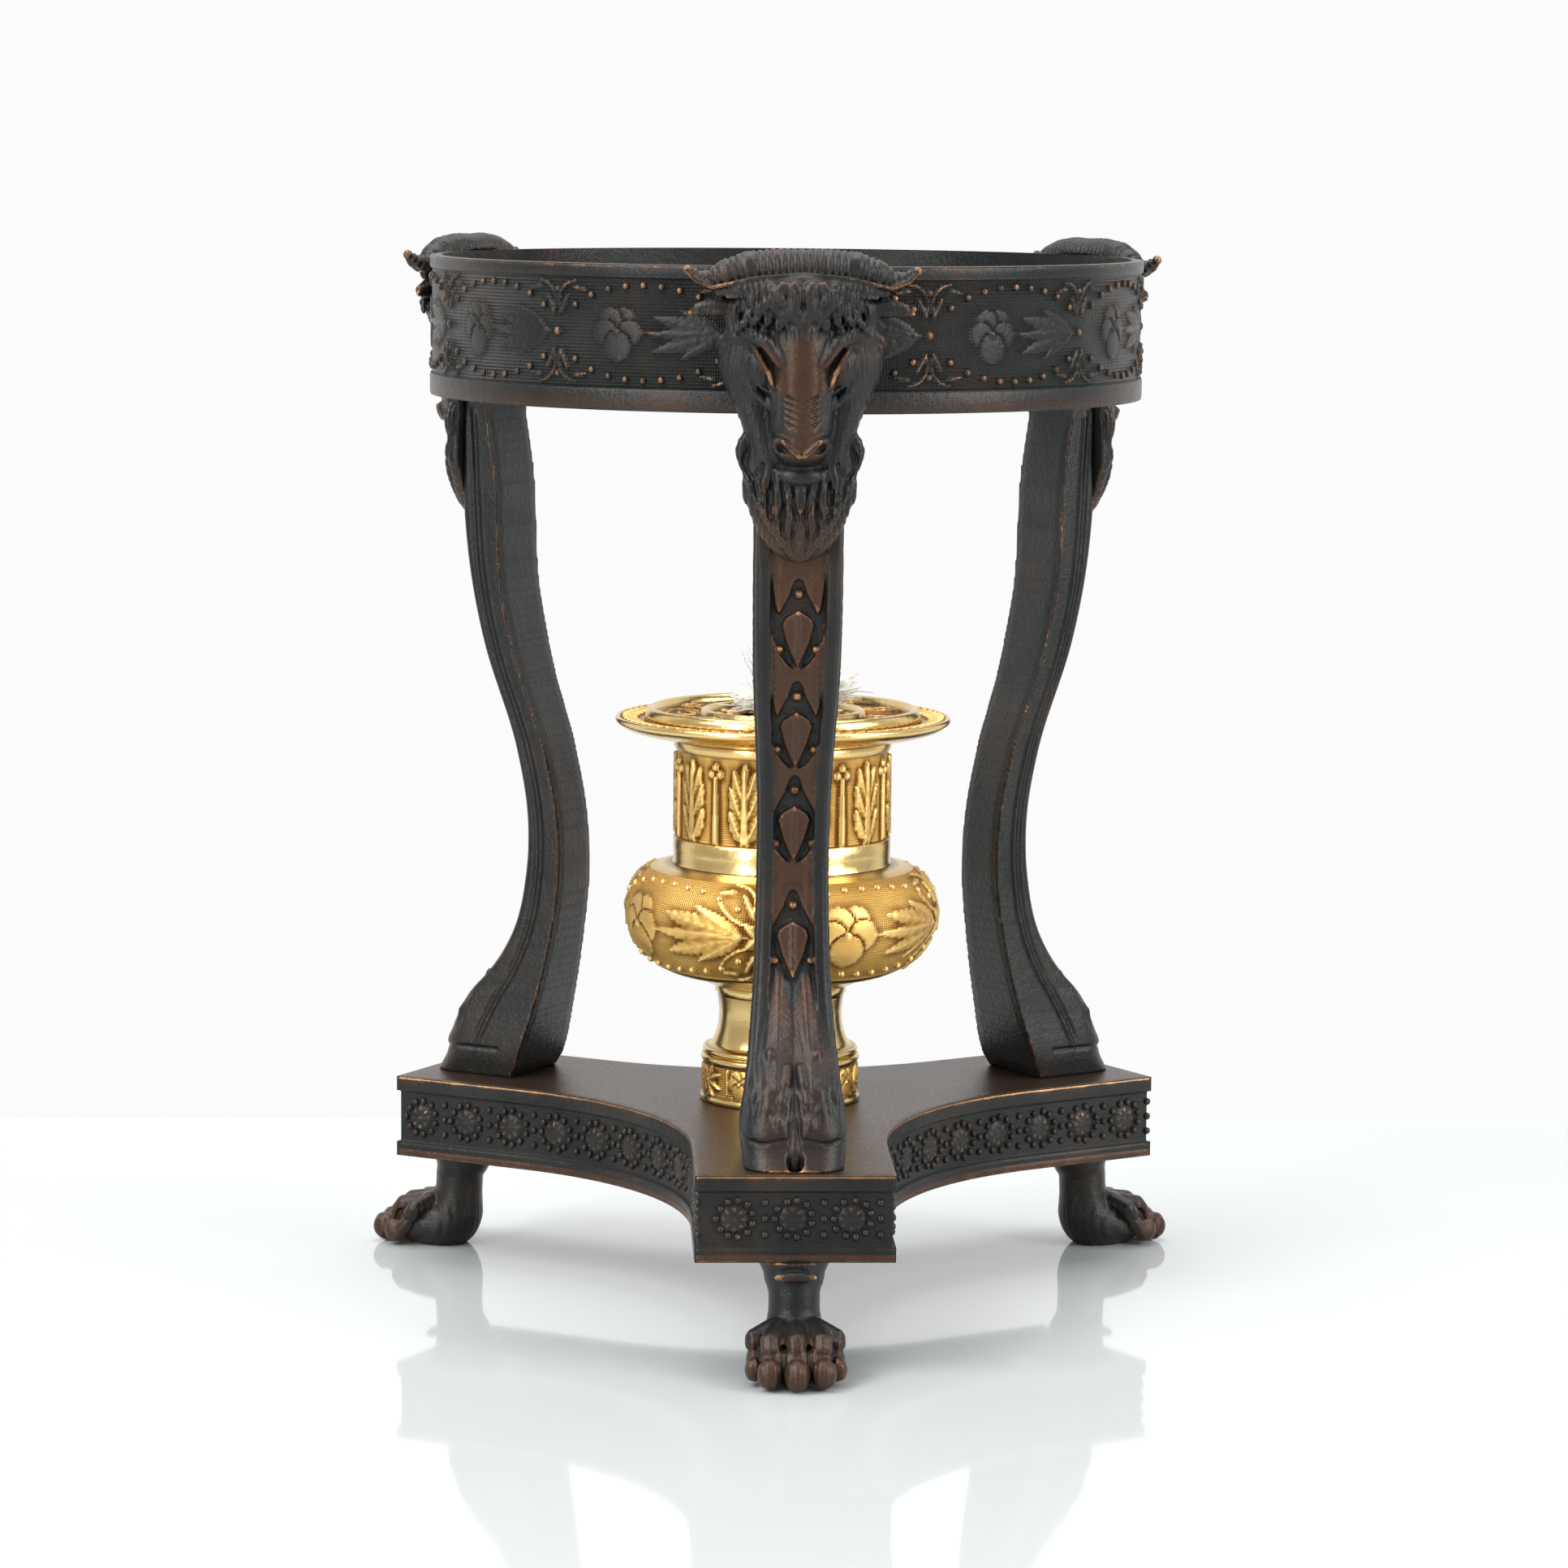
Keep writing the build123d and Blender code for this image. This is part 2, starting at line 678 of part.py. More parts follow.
# Spirit liner, hung by its flange on a cork seal
with BuildPart() as spirit_liner:
    with BuildSketch(Plane.XZ):
        with BuildLine():
            Polyline(
                (0, liner_z),
                (liner_r, liner_z),
                (liner_r, dish_z - flange_h),
                (flange_r, dish_z - flange_h),
                (flange_r, dish_z),
                (liner_r - liner_wall, dish_z),
                (liner_r - liner_wall, liner_z + liner_wall),
                (0, liner_z + liner_wall),
                close=True,
            )
        make_face()
    revolve(axis=Axis.Z)
spirit_liner.part.label = "spirit_liner"
export_step(spirit_liner.part, "parts/spirit_liner.step")

with BuildPart() as cork_seal:
    with BuildSketch(Plane.XY.offset(dish_z - flange_h - gasket_h)):
        Circle(flange_r)
        Circle(liner_r + slide_gap, mode=Mode.SUBTRACT)
    extrude(amount=gasket_h)
cork_seal.part.label = "cork_seal"
export_step(cork_seal.part, "parts/cork_seal.step")

# Lid that lifts off with the burner tube
lid_top = lid_z + lid_plate
tube_r = wick_r + slide_gap + tube_wall
with BuildPart() as lid:
    with BuildSketch(Plane.XZ):
        with BuildLine():
            Polyline(
                (tube_r + fit_gap, lid_z),
                (dish_bore - slide_gap - 1.2, lid_z),
                (dish_bore - slide_gap - 1.2, lid_z - spigot_h),
                (dish_bore - slide_gap, lid_z - spigot_h),
                (dish_bore - slide_gap, lid_z),
                (lid_r, lid_z),
                (lid_r, lid_z + lid_bead - 0.5),
                (lid_r - 0.5, lid_z + lid_bead),
                (lid_r - 1.0, lid_z + lid_bead),
                (lid_r - 1.6, lid_z + lid_bead - 0.6),
                (lid_r - 1.8, lid_top),
                (inner_bead_r + 0.7, lid_top),
                (inner_bead_r + 0.4, lid_z + lid_bead - 0.3),
                (inner_bead_r - 0.4, lid_z + lid_bead - 0.3),
                (inner_bead_r - 0.7, lid_top),
                (tube_r + fit_gap, lid_top),
                close=True,
            )
        make_face()
    revolve(axis=Axis.Z)
lid.part.label = "lid"
export_step(lid.part, "parts/lid.step")

with BuildPart() as wick_tube:
    with BuildSketch(Plane.XZ):
        with BuildLine():
            Polyline(
                (wick_r + slide_gap, tube_z),
                (tube_r, tube_z),
                (tube_r, lid_top),
                (tube_flange_r, lid_top),
                (tube_flange_r, tube_top),
                (wick_r + slide_gap, tube_top),
                close=True,
            )
        make_face()
    revolve(axis=Axis.Z)
wick_tube.part.label = "wick_tube"
export_step(wick_tube.part, "parts/wick_tube.step")

with BuildPart() as tube_nut:
    with BuildSketch(Plane.XY.offset(lid_z - tube_nut_h)):
        RegularPolygon(tube_nut_af / 2, 6, major_radius=False)
        Circle(tube_r + fit_gap, mode=Mode.SUBTRACT)
    extrude(amount=tube_nut_h)
tube_nut.part.label = "tube_nut"
export_step(tube_nut.part, "parts/tube_nut.step")

# Cotton wick: a cord in the tube and a frayed tuft above it
tuft_z = tube_top + 0.4
with BuildPart() as wick:
    with BuildSketch(Plane.XY.offset(tube_z - wick_tail)):
        Circle(wick_r)
    extrude(amount=tuft_z + 1 - (tube_z - wick_tail))
    with BuildSketch(Plane.XZ):
        with BuildLine():
            Polyline(
                (0, tuft_z),
                (tuft_r * 0.6, tuft_z),
                (tuft_r, tuft_z + tuft_h * 0.2),
                (tuft_r * 0.9, tuft_z + tuft_h * 0.45),
                (tuft_r * 0.4, tuft_z + tuft_h * 0.85),
                (0, tuft_z + tuft_h),
                close=True,
            )
        make_face()
    revolve(axis=Axis.Z)
    with Locations((tuft_side, 0, tuft_z + tuft_side_r + 0.6)):
        Sphere(tuft_side_r)
wick.part.label = "wick"
export_step(wick.part, "parts/wick.step")
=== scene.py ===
import bpy, json, math
import numpy as np
from mathutils import Matrix, Vector


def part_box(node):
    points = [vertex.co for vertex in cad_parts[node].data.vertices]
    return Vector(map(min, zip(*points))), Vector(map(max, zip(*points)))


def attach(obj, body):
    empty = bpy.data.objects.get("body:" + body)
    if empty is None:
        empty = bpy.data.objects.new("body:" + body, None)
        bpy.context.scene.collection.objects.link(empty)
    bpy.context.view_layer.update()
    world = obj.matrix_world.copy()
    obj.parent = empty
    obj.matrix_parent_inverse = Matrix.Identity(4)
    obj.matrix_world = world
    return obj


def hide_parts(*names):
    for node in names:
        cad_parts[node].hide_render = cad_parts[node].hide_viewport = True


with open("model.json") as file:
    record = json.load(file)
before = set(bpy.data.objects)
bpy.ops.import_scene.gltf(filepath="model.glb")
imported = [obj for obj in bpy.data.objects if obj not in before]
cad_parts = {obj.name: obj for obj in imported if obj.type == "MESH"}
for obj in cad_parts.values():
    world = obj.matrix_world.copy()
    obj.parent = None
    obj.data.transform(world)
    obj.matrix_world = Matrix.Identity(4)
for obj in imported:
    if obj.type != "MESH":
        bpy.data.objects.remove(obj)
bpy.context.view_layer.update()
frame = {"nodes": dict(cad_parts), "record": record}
nodes = frame["nodes"]


def top_of(node):
    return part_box(node)[1].z * 1000


def foot_of(node):
    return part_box(node)[0].z * 1000


# Heights and radii in mm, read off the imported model
RING_R = -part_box("frieze_ring")[0].y * 1000
RING_Z = foot_of("frieze_ring")
RING_H = top_of("frieze_ring") - RING_Z
PLINTH_Z = foot_of("plinth")
PLINTH_TOP = top_of("plinth")
ARM = -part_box("plinth")[0].y * 1000
LEG_H = RING_Z - PLINTH_TOP
SOCLE_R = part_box("urn_socle")[1].x * 1000 - 0.2
STEM_Z = top_of("urn_socle")
BOWL_Z = top_of("urn_stem")
BOWL_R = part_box("urn_bowl")[1].x * 1000
NECK_Z = top_of("urn_bowl")
DISH_Z = foot_of("rim_dish")
DISH_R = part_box("rim_dish")[1].x * 1000
LID_Z = DISH_Z + 2.2
LID_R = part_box("lid")[1].x * 1000
TURNS = {"front": -90, "right": 30, "left": 150}
rng = np.random.default_rng(11)


# ---------------------------------------------------------------- meshes
def make(name, verts, faces, material, attrs=None, body="stand"):
    """A piece from mm vertices, riding on a body."""
    me = bpy.data.meshes.new(name)
    me.from_pydata((np.asarray(verts, float) * 0.001).tolist(), [], [list(f) for f in faces])
    for key, value in (attrs or {}).items():
        value = np.asarray(value, np.float32)
        kind, field = ("FLOAT_VECTOR", "vector") if value.ndim == 2 else ("FLOAT", "value")
        me.attributes.new(key, kind, "POINT").data.foreach_set(field, value.ravel())
    me.shade_smooth()
    me.materials.append(material)
    me.validate()
    obj = bpy.data.objects.new(name, me)
    bpy.context.scene.collection.objects.link(obj)
    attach(obj, body)
    return obj


def join(parts):
    """Several (verts, faces, attrs) as one."""
    verts, faces, attrs, base = [], [], {}, 0
    for v, f, a in parts:
        verts.append(np.asarray(v, float))
        faces += [[i + base for i in q] for q in f]
        for key, value in a.items():
            attrs.setdefault(key, []).append(np.asarray(value, float))
        base += len(v)
    return np.vstack(verts), faces, {k: np.concatenate(x) for k, x in attrs.items()}


def blank(n, **known):
    """Every attribute of n points, zero unless given."""
    zero = np.zeros(n)
    return {"wear": zero, "ground": zero, "shine": zero, "warm": zero, "lay": np.zeros((n, 3)), **known}


def quads(rows, cols):
    """Faces of a grid whose columns wrap round."""
    i = np.arange(rows * cols).reshape(rows, cols)
    i = np.hstack([i, i[:, :1]])
    return np.stack([i[:-1, :-1], i[:-1, 1:], i[1:, 1:], i[1:, :-1]], -1).reshape(-1, 4)


def turned(verts, turn):
    """Arm coordinates (left of the arm, radius, height) to the row frame."""
    a = math.radians(turn)
    x, u, z = np.asarray(verts).T
    return np.stack([u * math.cos(a) + x * math.sin(a), u * math.sin(a) - x * math.cos(a), z], -1)


def spread(values, n, axis):
    """Running mean of n samples along one axis, edges held."""
    pad = [(0, 0)] * values.ndim
    pad[axis] = (n // 2 + 1, n // 2)
    c = np.cumsum(np.pad(values, pad, mode="edge"), axis=axis, dtype=np.float64)
    top = [slice(None)] * values.ndim
    low = list(top)
    top[axis] = slice(n, None)
    low[axis] = slice(None, -n)
    return (c[tuple(top)] - c[tuple(low)]) / n


def smooth01(x):
    x = np.clip(x, 0, 1)
    return x * x * (3 - 2 * x)


def mound(x):
    return np.exp(-(x**2))


# ---------------------------------------------------------------- modelling clay
class Clay:
    """A distance grid in mm that shapes are pressed onto or cut from."""

    def __init__(self, lo, hi, step):
        self.lo, self.step = np.array(lo, float), step
        self.ax = [np.arange(a, b + step, step).astype(np.float32) for a, b in zip(lo, hi)]
        self.d = np.full([len(a) for a in self.ax], 4.0, np.float32)

    def everywhere(self):
        return np.meshgrid(*self.ax, indexing="ij", sparse=True)

    def near(self, lo, hi):
        win = []
        for i in range(3):
            a = int(np.clip((lo[i] - self.lo[i]) / self.step, 0, len(self.ax[i]) - 2))
            b = int(np.clip((hi[i] - self.lo[i]) / self.step + 2, a + 2, len(self.ax[i])))
            win.append(slice(a, b))
        return tuple(win), np.meshgrid(*[self.ax[i][win[i]] for i in range(3)], indexing="ij", sparse=True)

    def press(self, win, dist, k, cut=False):
        old = self.d[win]
        a = -old if cut else old
        h = np.clip(0.5 + 0.5 * (dist - a) / k, 0, 1)
        new = dist + (a - dist) * h - k * h * (1 - h)
        self.d[win] = -new if cut else new

    def ball(self, c, r, k=0.8, cut=False, tip=0.0):
        """An ellipsoid, leaning by tip radians in the front view."""
        reach = max(r) + k + 1
        win, (x, y, z) = self.near([v - reach for v in c], [v + reach for v in c])
        x, y, z = x - c[0], y - c[1], z - c[2]
        if tip:
            x, z = x * math.cos(tip) + z * math.sin(tip), z * math.cos(tip) - x * math.sin(tip)
        p = np.sqrt((x / r[0]) ** 2 + (y / r[1]) ** 2 + (z / r[2]) ** 2) + 1e-6
        q = np.sqrt((x / r[0] ** 2) ** 2 + (y / r[1] ** 2) ** 2 + (z / r[2] ** 2) ** 2) + 1e-6
        self.press(win, p * (p - 1) / q, k, cut)

    def rope(self, pts, radii, k=0.6, cut=False, ribs=0.0, pitch=0.8, flat=1.0):
        """A tapering tube through points, ribbed along its length if asked."""
        pts = np.asarray(pts, float)
        radii = np.broadcast_to(np.asarray(radii, float), len(pts))
        reach = radii.max() * max(1, 1 / flat) + k + 1
        win, (x, y, z) = self.near(pts.min(0) - reach, pts.max(0) + reach)
        best, run = None, 0.0
        for a, b, ra, rb in zip(pts[:-1], pts[1:], radii[:-1], radii[1:]):
            ab = b - a
            ln = float(np.linalg.norm(ab)) + 1e-9
            t = ((x - a[0]) * ab[0] + (y - a[1]) * ab[1] + (z - a[2]) * ab[2]) / ln**2
            t = np.clip(t, 0, 1)
            dx, dy, dz = x - a[0] - t * ab[0], y - a[1] - t * ab[1], z - a[2] - t * ab[2]
            dist = np.sqrt(dx * dx + (dy * flat) ** 2 + dz * dz) - (ra + (rb - ra) * t)
            if ribs:
                dist = dist + ribs * np.sin((run + t * ln) * 2 * math.pi / pitch)
            best = dist if best is None else np.minimum(best, dist)
            run += ln
        self.press(win, best, k, cut)

    def mirrored(self):
        """The same clay with its x >= 0 half copied to x < 0."""
        first = int(round(-self.lo[0] / self.step))
        half = self.d[first:]
        self.d = np.concatenate([half[:0:-1], half])
        self.ax[0] = np.concatenate([-self.ax[0][first:][:0:-1], self.ax[0][first:]])
        self.lo[0] = self.ax[0][0]

    def skin(self, wear_mm=1.0):
        """Surface-nets mesh, with how far each point stands proud of its surroundings."""
        d, step = self.d, self.step
        inside = d < 0
        count = np.zeros([n - 1 for n in d.shape], np.int8)
        corners = [(i, j, k) for i in (0, 1) for j in (0, 1) for k in (0, 1)]
        for i, j, k in corners:
            count += inside[i : i + count.shape[0], j : j + count.shape[1], k : k + count.shape[2]]
        cells = np.argwhere((count > 0) & (count < 8))
        index = np.full(count.shape, -1, np.int64)
        index[tuple(cells.T)] = np.arange(len(cells))
        total, hits = np.zeros((len(cells), 3)), np.zeros((len(cells), 1))
        for c0 in corners:
            for axis in range(3):
                if c0[axis]:
                    continue
                c1 = list(c0)
                c1[axis] = 1
                v0 = d[tuple((cells + c0).T)]
                v1 = d[tuple((cells + c1).T)]
                m = (v0 < 0) != (v1 < 0)
                p = np.tile(np.array(c0, float), (len(cells), 1))
                p[:, axis] = v0 / np.where(m, v0 - v1, 1)
                total[m] += p[m]
                hits[m] += 1
        at = cells + total / np.maximum(hits, 1)
        verts = self.lo + step * at
        faces = []
        for axis in range(3):
            u, v = (axis + 1) % 3, (axis + 2) % 3
            s0 = tuple(slice(0, -1) if i == axis else slice(1, -1) for i in range(3))
            s1 = tuple(slice(1, None) if i == axis else slice(1, -1) for i in range(3))
            flips = np.argwhere(inside[s0] != inside[s1])
            out = inside[s0][tuple(flips.T)]
            q = []
            for du, dv in ((0, 0), (1, 0), (1, 1), (0, 1)):
                f = flips.copy()
                f[:, u] += du
                f[:, v] += dv
                q.append(index[tuple(f.T)])
            q = np.stack(q, -1)
            q[~out] = q[~out][:, ::-1]
            faces.append(q)
        solid = np.clip(0.5 - d / (2 * step), 0, 1)
        n = int(wear_mm / step) * 2 + 1
        for axis in range(3):
            solid = spread(solid, n, axis)
        near = np.clip(np.round(at).astype(int), 0, np.array(d.shape) - 1)
        wear = (0.5 - solid[tuple(near.T)]) * 2
        return verts, np.vstack(faces), {"wear": wear}


# ---------------------------------------------------------------- chased relief
class Panel:
    """One repeat of relief in mm: s runs along the band and wraps, t runs across it."""

    def __init__(self, length, t, cols):
        self.length = length
        self.s, self.t = np.meshgrid(np.arange(cols) * length / cols, t)
        self.h = np.zeros(self.s.shape)

    def off(self, s, t):
        ds = (self.s - s + self.length / 2) % self.length - self.length / 2
        return ds, self.t - t

    def add(self, h):
        self.h = np.maximum(self.h, h)

    def dome(self, s, t, r, top, petal=False):
        """A round bead, or a veined petal with a groove round it."""
        ds, dt = self.off(s, t)
        q = np.hypot(ds, dt) / r
        if petal:
            body = top * (0.95 - 0.3 * q**2 + 0.07 * np.sin(14 * np.arctan2(dt, ds)) * q)
            self.h = np.where(q < 1.09, np.where(q < 0.98, body, 0.02), self.h)
        else:
            self.add(top * np.sqrt(np.clip(1 - q**4, 0, 1)) * (q < 1))

    def leaf(self, s, t, angle, length, width, top, lobes=0, vein=0.12):
        """A leaf from its stalk at (s, t), with a serrated edge and a midrib."""
        mid = (s + 0.5 * length * math.cos(angle), t + 0.5 * length * math.sin(angle))
        ds, dt = self.off(*mid)
        along = (ds * math.cos(angle) + dt * math.sin(angle)) / length + 0.5
        across = dt * math.cos(angle) - ds * math.sin(angle)
        a = np.clip(along, 0, 1)
        w = width * np.sin(math.pi * a**0.75) ** 0.8
        if lobes:
            w = w * (0.8 + 0.26 * np.abs(np.sin(math.pi * lobes * a)))
        q = np.abs(across) / np.maximum(w, 1e-6)
        body = top * (1 - 0.45 * q) * np.clip((1 - q) * 6, 0, 1)
        body = body + 0.1 * top * np.sin(a * 40 - np.abs(across) * 6 / width) * (q < 0.9)
        body = body + top * 0.45 * np.exp(-((across / vein) ** 2)) * (q < 1)
        self.add(np.where((along > 0) & (along < 1) & (q < 1), body, 0))

    def wire(self, pts, width, top):
        """A raised line through points."""
        for a, b in zip(pts[:-1], pts[1:]):
            ds, dt = self.off((a[0] + b[0]) / 2, (a[1] + b[1]) / 2)
            vs, vt = b[0] - a[0], b[1] - a[1]
            ln = math.hypot(vs, vt) + 1e-9
            k = np.clip((ds * vs + dt * vt) / ln**2, -0.5, 0.5)
            q = np.hypot(ds - k * vs, dt - k * vt) / width
            self.add(top * np.sqrt(np.clip(1 - q * q, 0, 1)))

    def arc(self, s, t, r, a0, a1, width, top):
        a = np.radians(np.linspace(a0, a1, 14))
        self.wire(list(zip(s + r * np.cos(a), t + r * np.sin(a))), width, top)


def pansy(p, s, t, size):
    away = size * 0.27
    for a, r in ((55, 0.27), (125, 0.27), (0, 0.26), (180, 0.26), (270, 0.31)):
        a = math.radians(a)
        p.dome(s + away * math.cos(a), t + away * math.sin(a), size * r, 0.3, True)
    p.dome(s, t, size * 0.08, 0.42)


def spray(p, s, t, long, wide):
    """Leaves fanning to the left of their shared stalk."""
    for a, ln, w in ((168, 0.97, 0.115), (181, 1.0, 0.09), (194, 0.97, 0.115), (152, 0.66, 0.075),
        (210, 0.66, 0.075)):
        p.leaf(s, t, math.radians(a), long * ln, long * w * wide, 0.24, 11, 0.08)


def catmull(points, step):
    """Profile points (r, z, wear, shine) along a smooth curve through the given ones."""
    p = np.array([points[0]] + list(points) + [points[-1]], float)
    rows = []
    for a, b, c, d in zip(p[:-3], p[1:-2], p[2:-1], p[3:]):
        n = max(2, int(math.dist(b[:2], c[:2]) / step))
        for i in range(n):
            t = i / n
            rows.append(0.5 * (2 * b + (c - a) * t + (2 * a - 5 * b + 4 * c - d) * t * t
                + (3 * b - a - 3 * c + d) * t**3))
    return np.array(rows + [p[-1]])


def line(points, step=9.0):
    rows = [np.array(points[0], float)]
    for a, b in zip(points[:-1], points[1:]):
        a, b = np.array(a, float), np.array(b, float)
        n = max(1, int(round(math.dist(a[:2], b[:2]) / step)))
        rows += [a + (b - a) * i / n for i in range(1, n + 1)]
    return np.array(rows)


def across(a, b, n):
    """n profile points straight from a to b."""
    return np.linspace(np.array(a, float), np.array(b, float), n)


def upright(r, z0, z1, n, wear=0.0):
    return across((r, z0, wear, 0), (r, z1, wear, 0), n)


def ring_path(cols, start):
    a = math.radians(start) + np.arange(cols) * 2 * math.pi / cols
    return np.stack([0 * a, 0 * a, np.cos(a), np.sin(a)])


def swept(path, parts, lap=False):
    """A band swept round a path. parts are rows or (rows, height field); lap closes the section."""
    rows, h, ground, wear = [], [], [], []
    cols = path.shape[1]
    for part in parts:
        prof, field = part if isinstance(part, tuple) else (part, None)
        rows.append(prof)
        flat = np.zeros((len(prof), cols)) if field is None else field
        h.append(flat)
        proud = 0 if field is None else np.clip((field - spread(spread(field, 9, 0), 9, 1)) / 0.30, -1, 1)
        wear.append(prof[:, 2:3] + proud + 0 * flat)
        ground.append(0 * flat if field is None else (field < 0.05) * 1.0)
    rows, h = np.vstack(rows), np.vstack(h)
    d = np.gradient(rows[:, :2], axis=0)
    d /= np.linalg.norm(d, axis=1, keepdims=True) + 1e-9
    r = rows[:, :1] - d[:, 1:2] * h
    z = rows[:, 1:2] + d[:, :1] * h
    x = path[0] + path[2] * r
    y = path[1] + path[3] * r
    run = np.concatenate([[0], np.cumsum(np.linalg.norm(np.diff(rows[:, :2], axis=0), axis=1))])
    s = np.concatenate([[0], np.cumsum(np.hypot(np.diff(x[0]), np.diff(y[0])))])
    grid = np.stack([np.tile(s, (len(rows), 1)), np.tile(run[:, None], (1, cols)), 0 * x], -1)
    faces = quads(len(rows), cols)
    if lap:
        last = (len(rows) - 1) * cols + np.arange(cols)
        first = np.arange(cols)
        faces = np.vstack([faces, np.stack([last, np.roll(last, -1), np.roll(first, -1), first], -1)])
    faces = faces[:, ::-1]
    shine = (rows[:, 3:4] + 0 * h).ravel()
    attrs = {
        "wear": np.vstack(wear).ravel(),
        "ground": np.vstack(ground).ravel(),
        "shine": shine,
        # On bronze pieces the shine column becomes the warm tint; on the plinth top that tint is partly a
        # painted reflection of the gilt urn.
        "warm": shine,
        "lay": grid.reshape(-1, 3),
    }
    return np.stack([x, y, z + 0 * x], -1).reshape(-1, 3), faces.tolist(), attrs


def beads(at, out, r, tall=1.0, worn=0.8):
    """Small domes at points, standing along their normals."""
    at, out = np.asarray(at, float), np.asarray(out, float)
    out = out / np.linalg.norm(out, axis=1, keepdims=True)
    side = np.cross(out, (0.0, 0.0, 1.0))
    side /= np.linalg.norm(side, axis=1, keepdims=True) + 1e-9
    up = np.cross(side, out)
    r = np.broadcast_to(r, len(at))[:, None, None]
    turns = np.arange(8) * math.pi / 4
    shape = [(0, 0, 1.0)]
    for b in (0.95, 0.4, -0.3):
        shape += [(math.cos(a) * math.cos(b), math.sin(a) * math.cos(b), math.sin(b)) for a in turns]
    shape = np.array(shape)
    x, y, z = (shape[:, i, None] for i in range(3))
    v = at[:, None] + r * (x * side[:, None] + y * up[:, None] + tall * z * out[:, None])
    one = [[0, 1 + i, 1 + (i + 1) % 8] for i in range(8)]
    for k in (0, 1):
        one += [[1 + 8 * k + i, 9 + 8 * k + i, 9 + 8 * k + (i + 1) % 8, 1 + 8 * k + (i + 1) % 8]
            for i in range(8)]
    n = len(shape)
    faces = [[i + n * j for i in f] for j in range(len(at)) for f in one]
    wear = np.tile(np.clip(shape[:, 2] * worn - 0.05, -0.5, 1), len(at))
    return v.reshape(-1, 3), faces, blank(len(wear), wear=wear)


MOTIF_MM = 28.8  # length that the motif is drawn at


def motif(length, t, cols, star=False):
    """Pansy, leaf spray and C-scrolls, as on ring and bowl."""
    p = Panel(length, t, cols)
    f = length / MOTIF_MM
    half = (t.max() - t.min()) / 2
    pansy(p, 10.6 * f, 0, 7.4 * f)
    spray(p, 27.0 * f, 0, 11.5 * f, 1.1)
    p.wire([(14.2 * f, 0), (20 * f, 0.3), (27.5 * f, 0)], 0.18, 0.34)
    for up in (1, -1):
        y = half * 0.86
        for way in (1, -1):
            p.arc(way * 3.3 * f, up * y * 0.62, 3.0 * f, 90 * up, up * (90 + way * 115), 0.24, 0.45)
            p.leaf(way * 0.4, up * y * 0.35, up * math.radians(90 - 28 * way), 3.6 * f, 0.55, 0.34, 3)
            p.leaf(way * 3.0 * f, up * y * 0.93, up * math.radians(90 - 100 * way), 2.4 * f, 0.45, 0.32, 2)
        p.dome(0, up * y * 0.88, 0.5 * f, 0.4)
    if star:
        for a in (45, 135, 225, 315):
            p.leaf(0, 0, math.radians(a), 3.0, 0.75, 0.42, 0)
    p.dome(0, 0, 0.6 * f, 0.5)
    return p


def oval_string(length, half_height, count=9):
    """Places of the beads above and below a motif."""
    f = length / MOTIF_MM
    out = []
    for i in range(count):
        s = 3.4 + i * 22.8 / (count - 1)
        h = half_height * math.sqrt(max(0.0, 1 - ((s - 14.7) / 13.8) ** 2))
        out += [(s * f, h), (s * f, -h)]
    return out


# ---------------------------------------------------------------- materials
class Value:
    """A shader value that can be added, subtracted and multiplied like a number."""

    def __init__(self, nt, socket):
        self.nt, self.socket = nt, socket

    def math(self, operation, other=0.0):
        n = node(self.nt, "ShaderNodeMath", {0: self, 1: other}, operation=operation)
        return Value(self.nt, n.outputs[0])

    def __add__(self, other):
        return self.math("ADD", other)

    def __sub__(self, other):
        return self.math("SUBTRACT", other)

    def __mul__(self, other):
        return self.math("MULTIPLY", other)

    def held(self):
        """The sum just made, held between 0 and 1."""
        self.socket.node.use_clamp = True
        return self


def feed(nt, n, inputs):
    """Link or set a node's inputs. Colours are given without alpha."""
    for k, v in inputs.items():
        if isinstance(v, Value):
            nt.links.new(v.socket, n.inputs[k])
        else:
            n.inputs[k].default_value = (*v, 1) if n.inputs[k].type == "RGBA" else v


def node(nt, kind, inputs=None, **props):
    n = nt.nodes.new(kind)
    for k, v in props.items():
        setattr(n, k, v)
    feed(nt, n, inputs or {})
    return n


def material(name):
    """A new material, its node tree and shader, and its object coordinates."""
    mat = bpy.data.materials.new(name)
    mat.use_nodes = True
    nt = mat.node_tree
    return mat, nt, nt.nodes["Principled BSDF"], Value(nt, node(nt, "ShaderNodeTexCoord").outputs["Object"])


def painted(nt, key, kind="Fac"):
    """A mesh attribute."""
    return Value(nt, node(nt, "ShaderNodeAttribute", attribute_name=key).outputs[kind])


def ramp(nt, value, stops):
    n = node(nt, "ShaderNodeValToRGB", {"Fac": value})
    els = n.color_ramp.elements
    while len(els) < len(stops):
        els.new(0.5)
    for e, (pos, colour) in zip(els, stops):
        e.position = pos
        e.color = (*colour, 1)
    return Value(nt, n.outputs["Color"])


def mix(nt, fac, a, b):
    return Value(nt, node(nt, "ShaderNodeMix", {"Factor": fac, 6: a, 7: b}, data_type="RGBA").outputs[2])


def noise(nt, coord, scale, detail=4.0, rough=0.6):
    inputs = {"Vector": coord, "Scale": scale, "Detail": detail, "Roughness": rough}
    return Value(nt, node(nt, "ShaderNodeTexNoise", inputs).outputs["Fac"])


def bump(nt, height, strength, distance):
    inputs = {"Height": height, "Strength": strength, "Distance": distance}
    return Value(nt, node(nt, "ShaderNodeBump", inputs).outputs["Normal"])


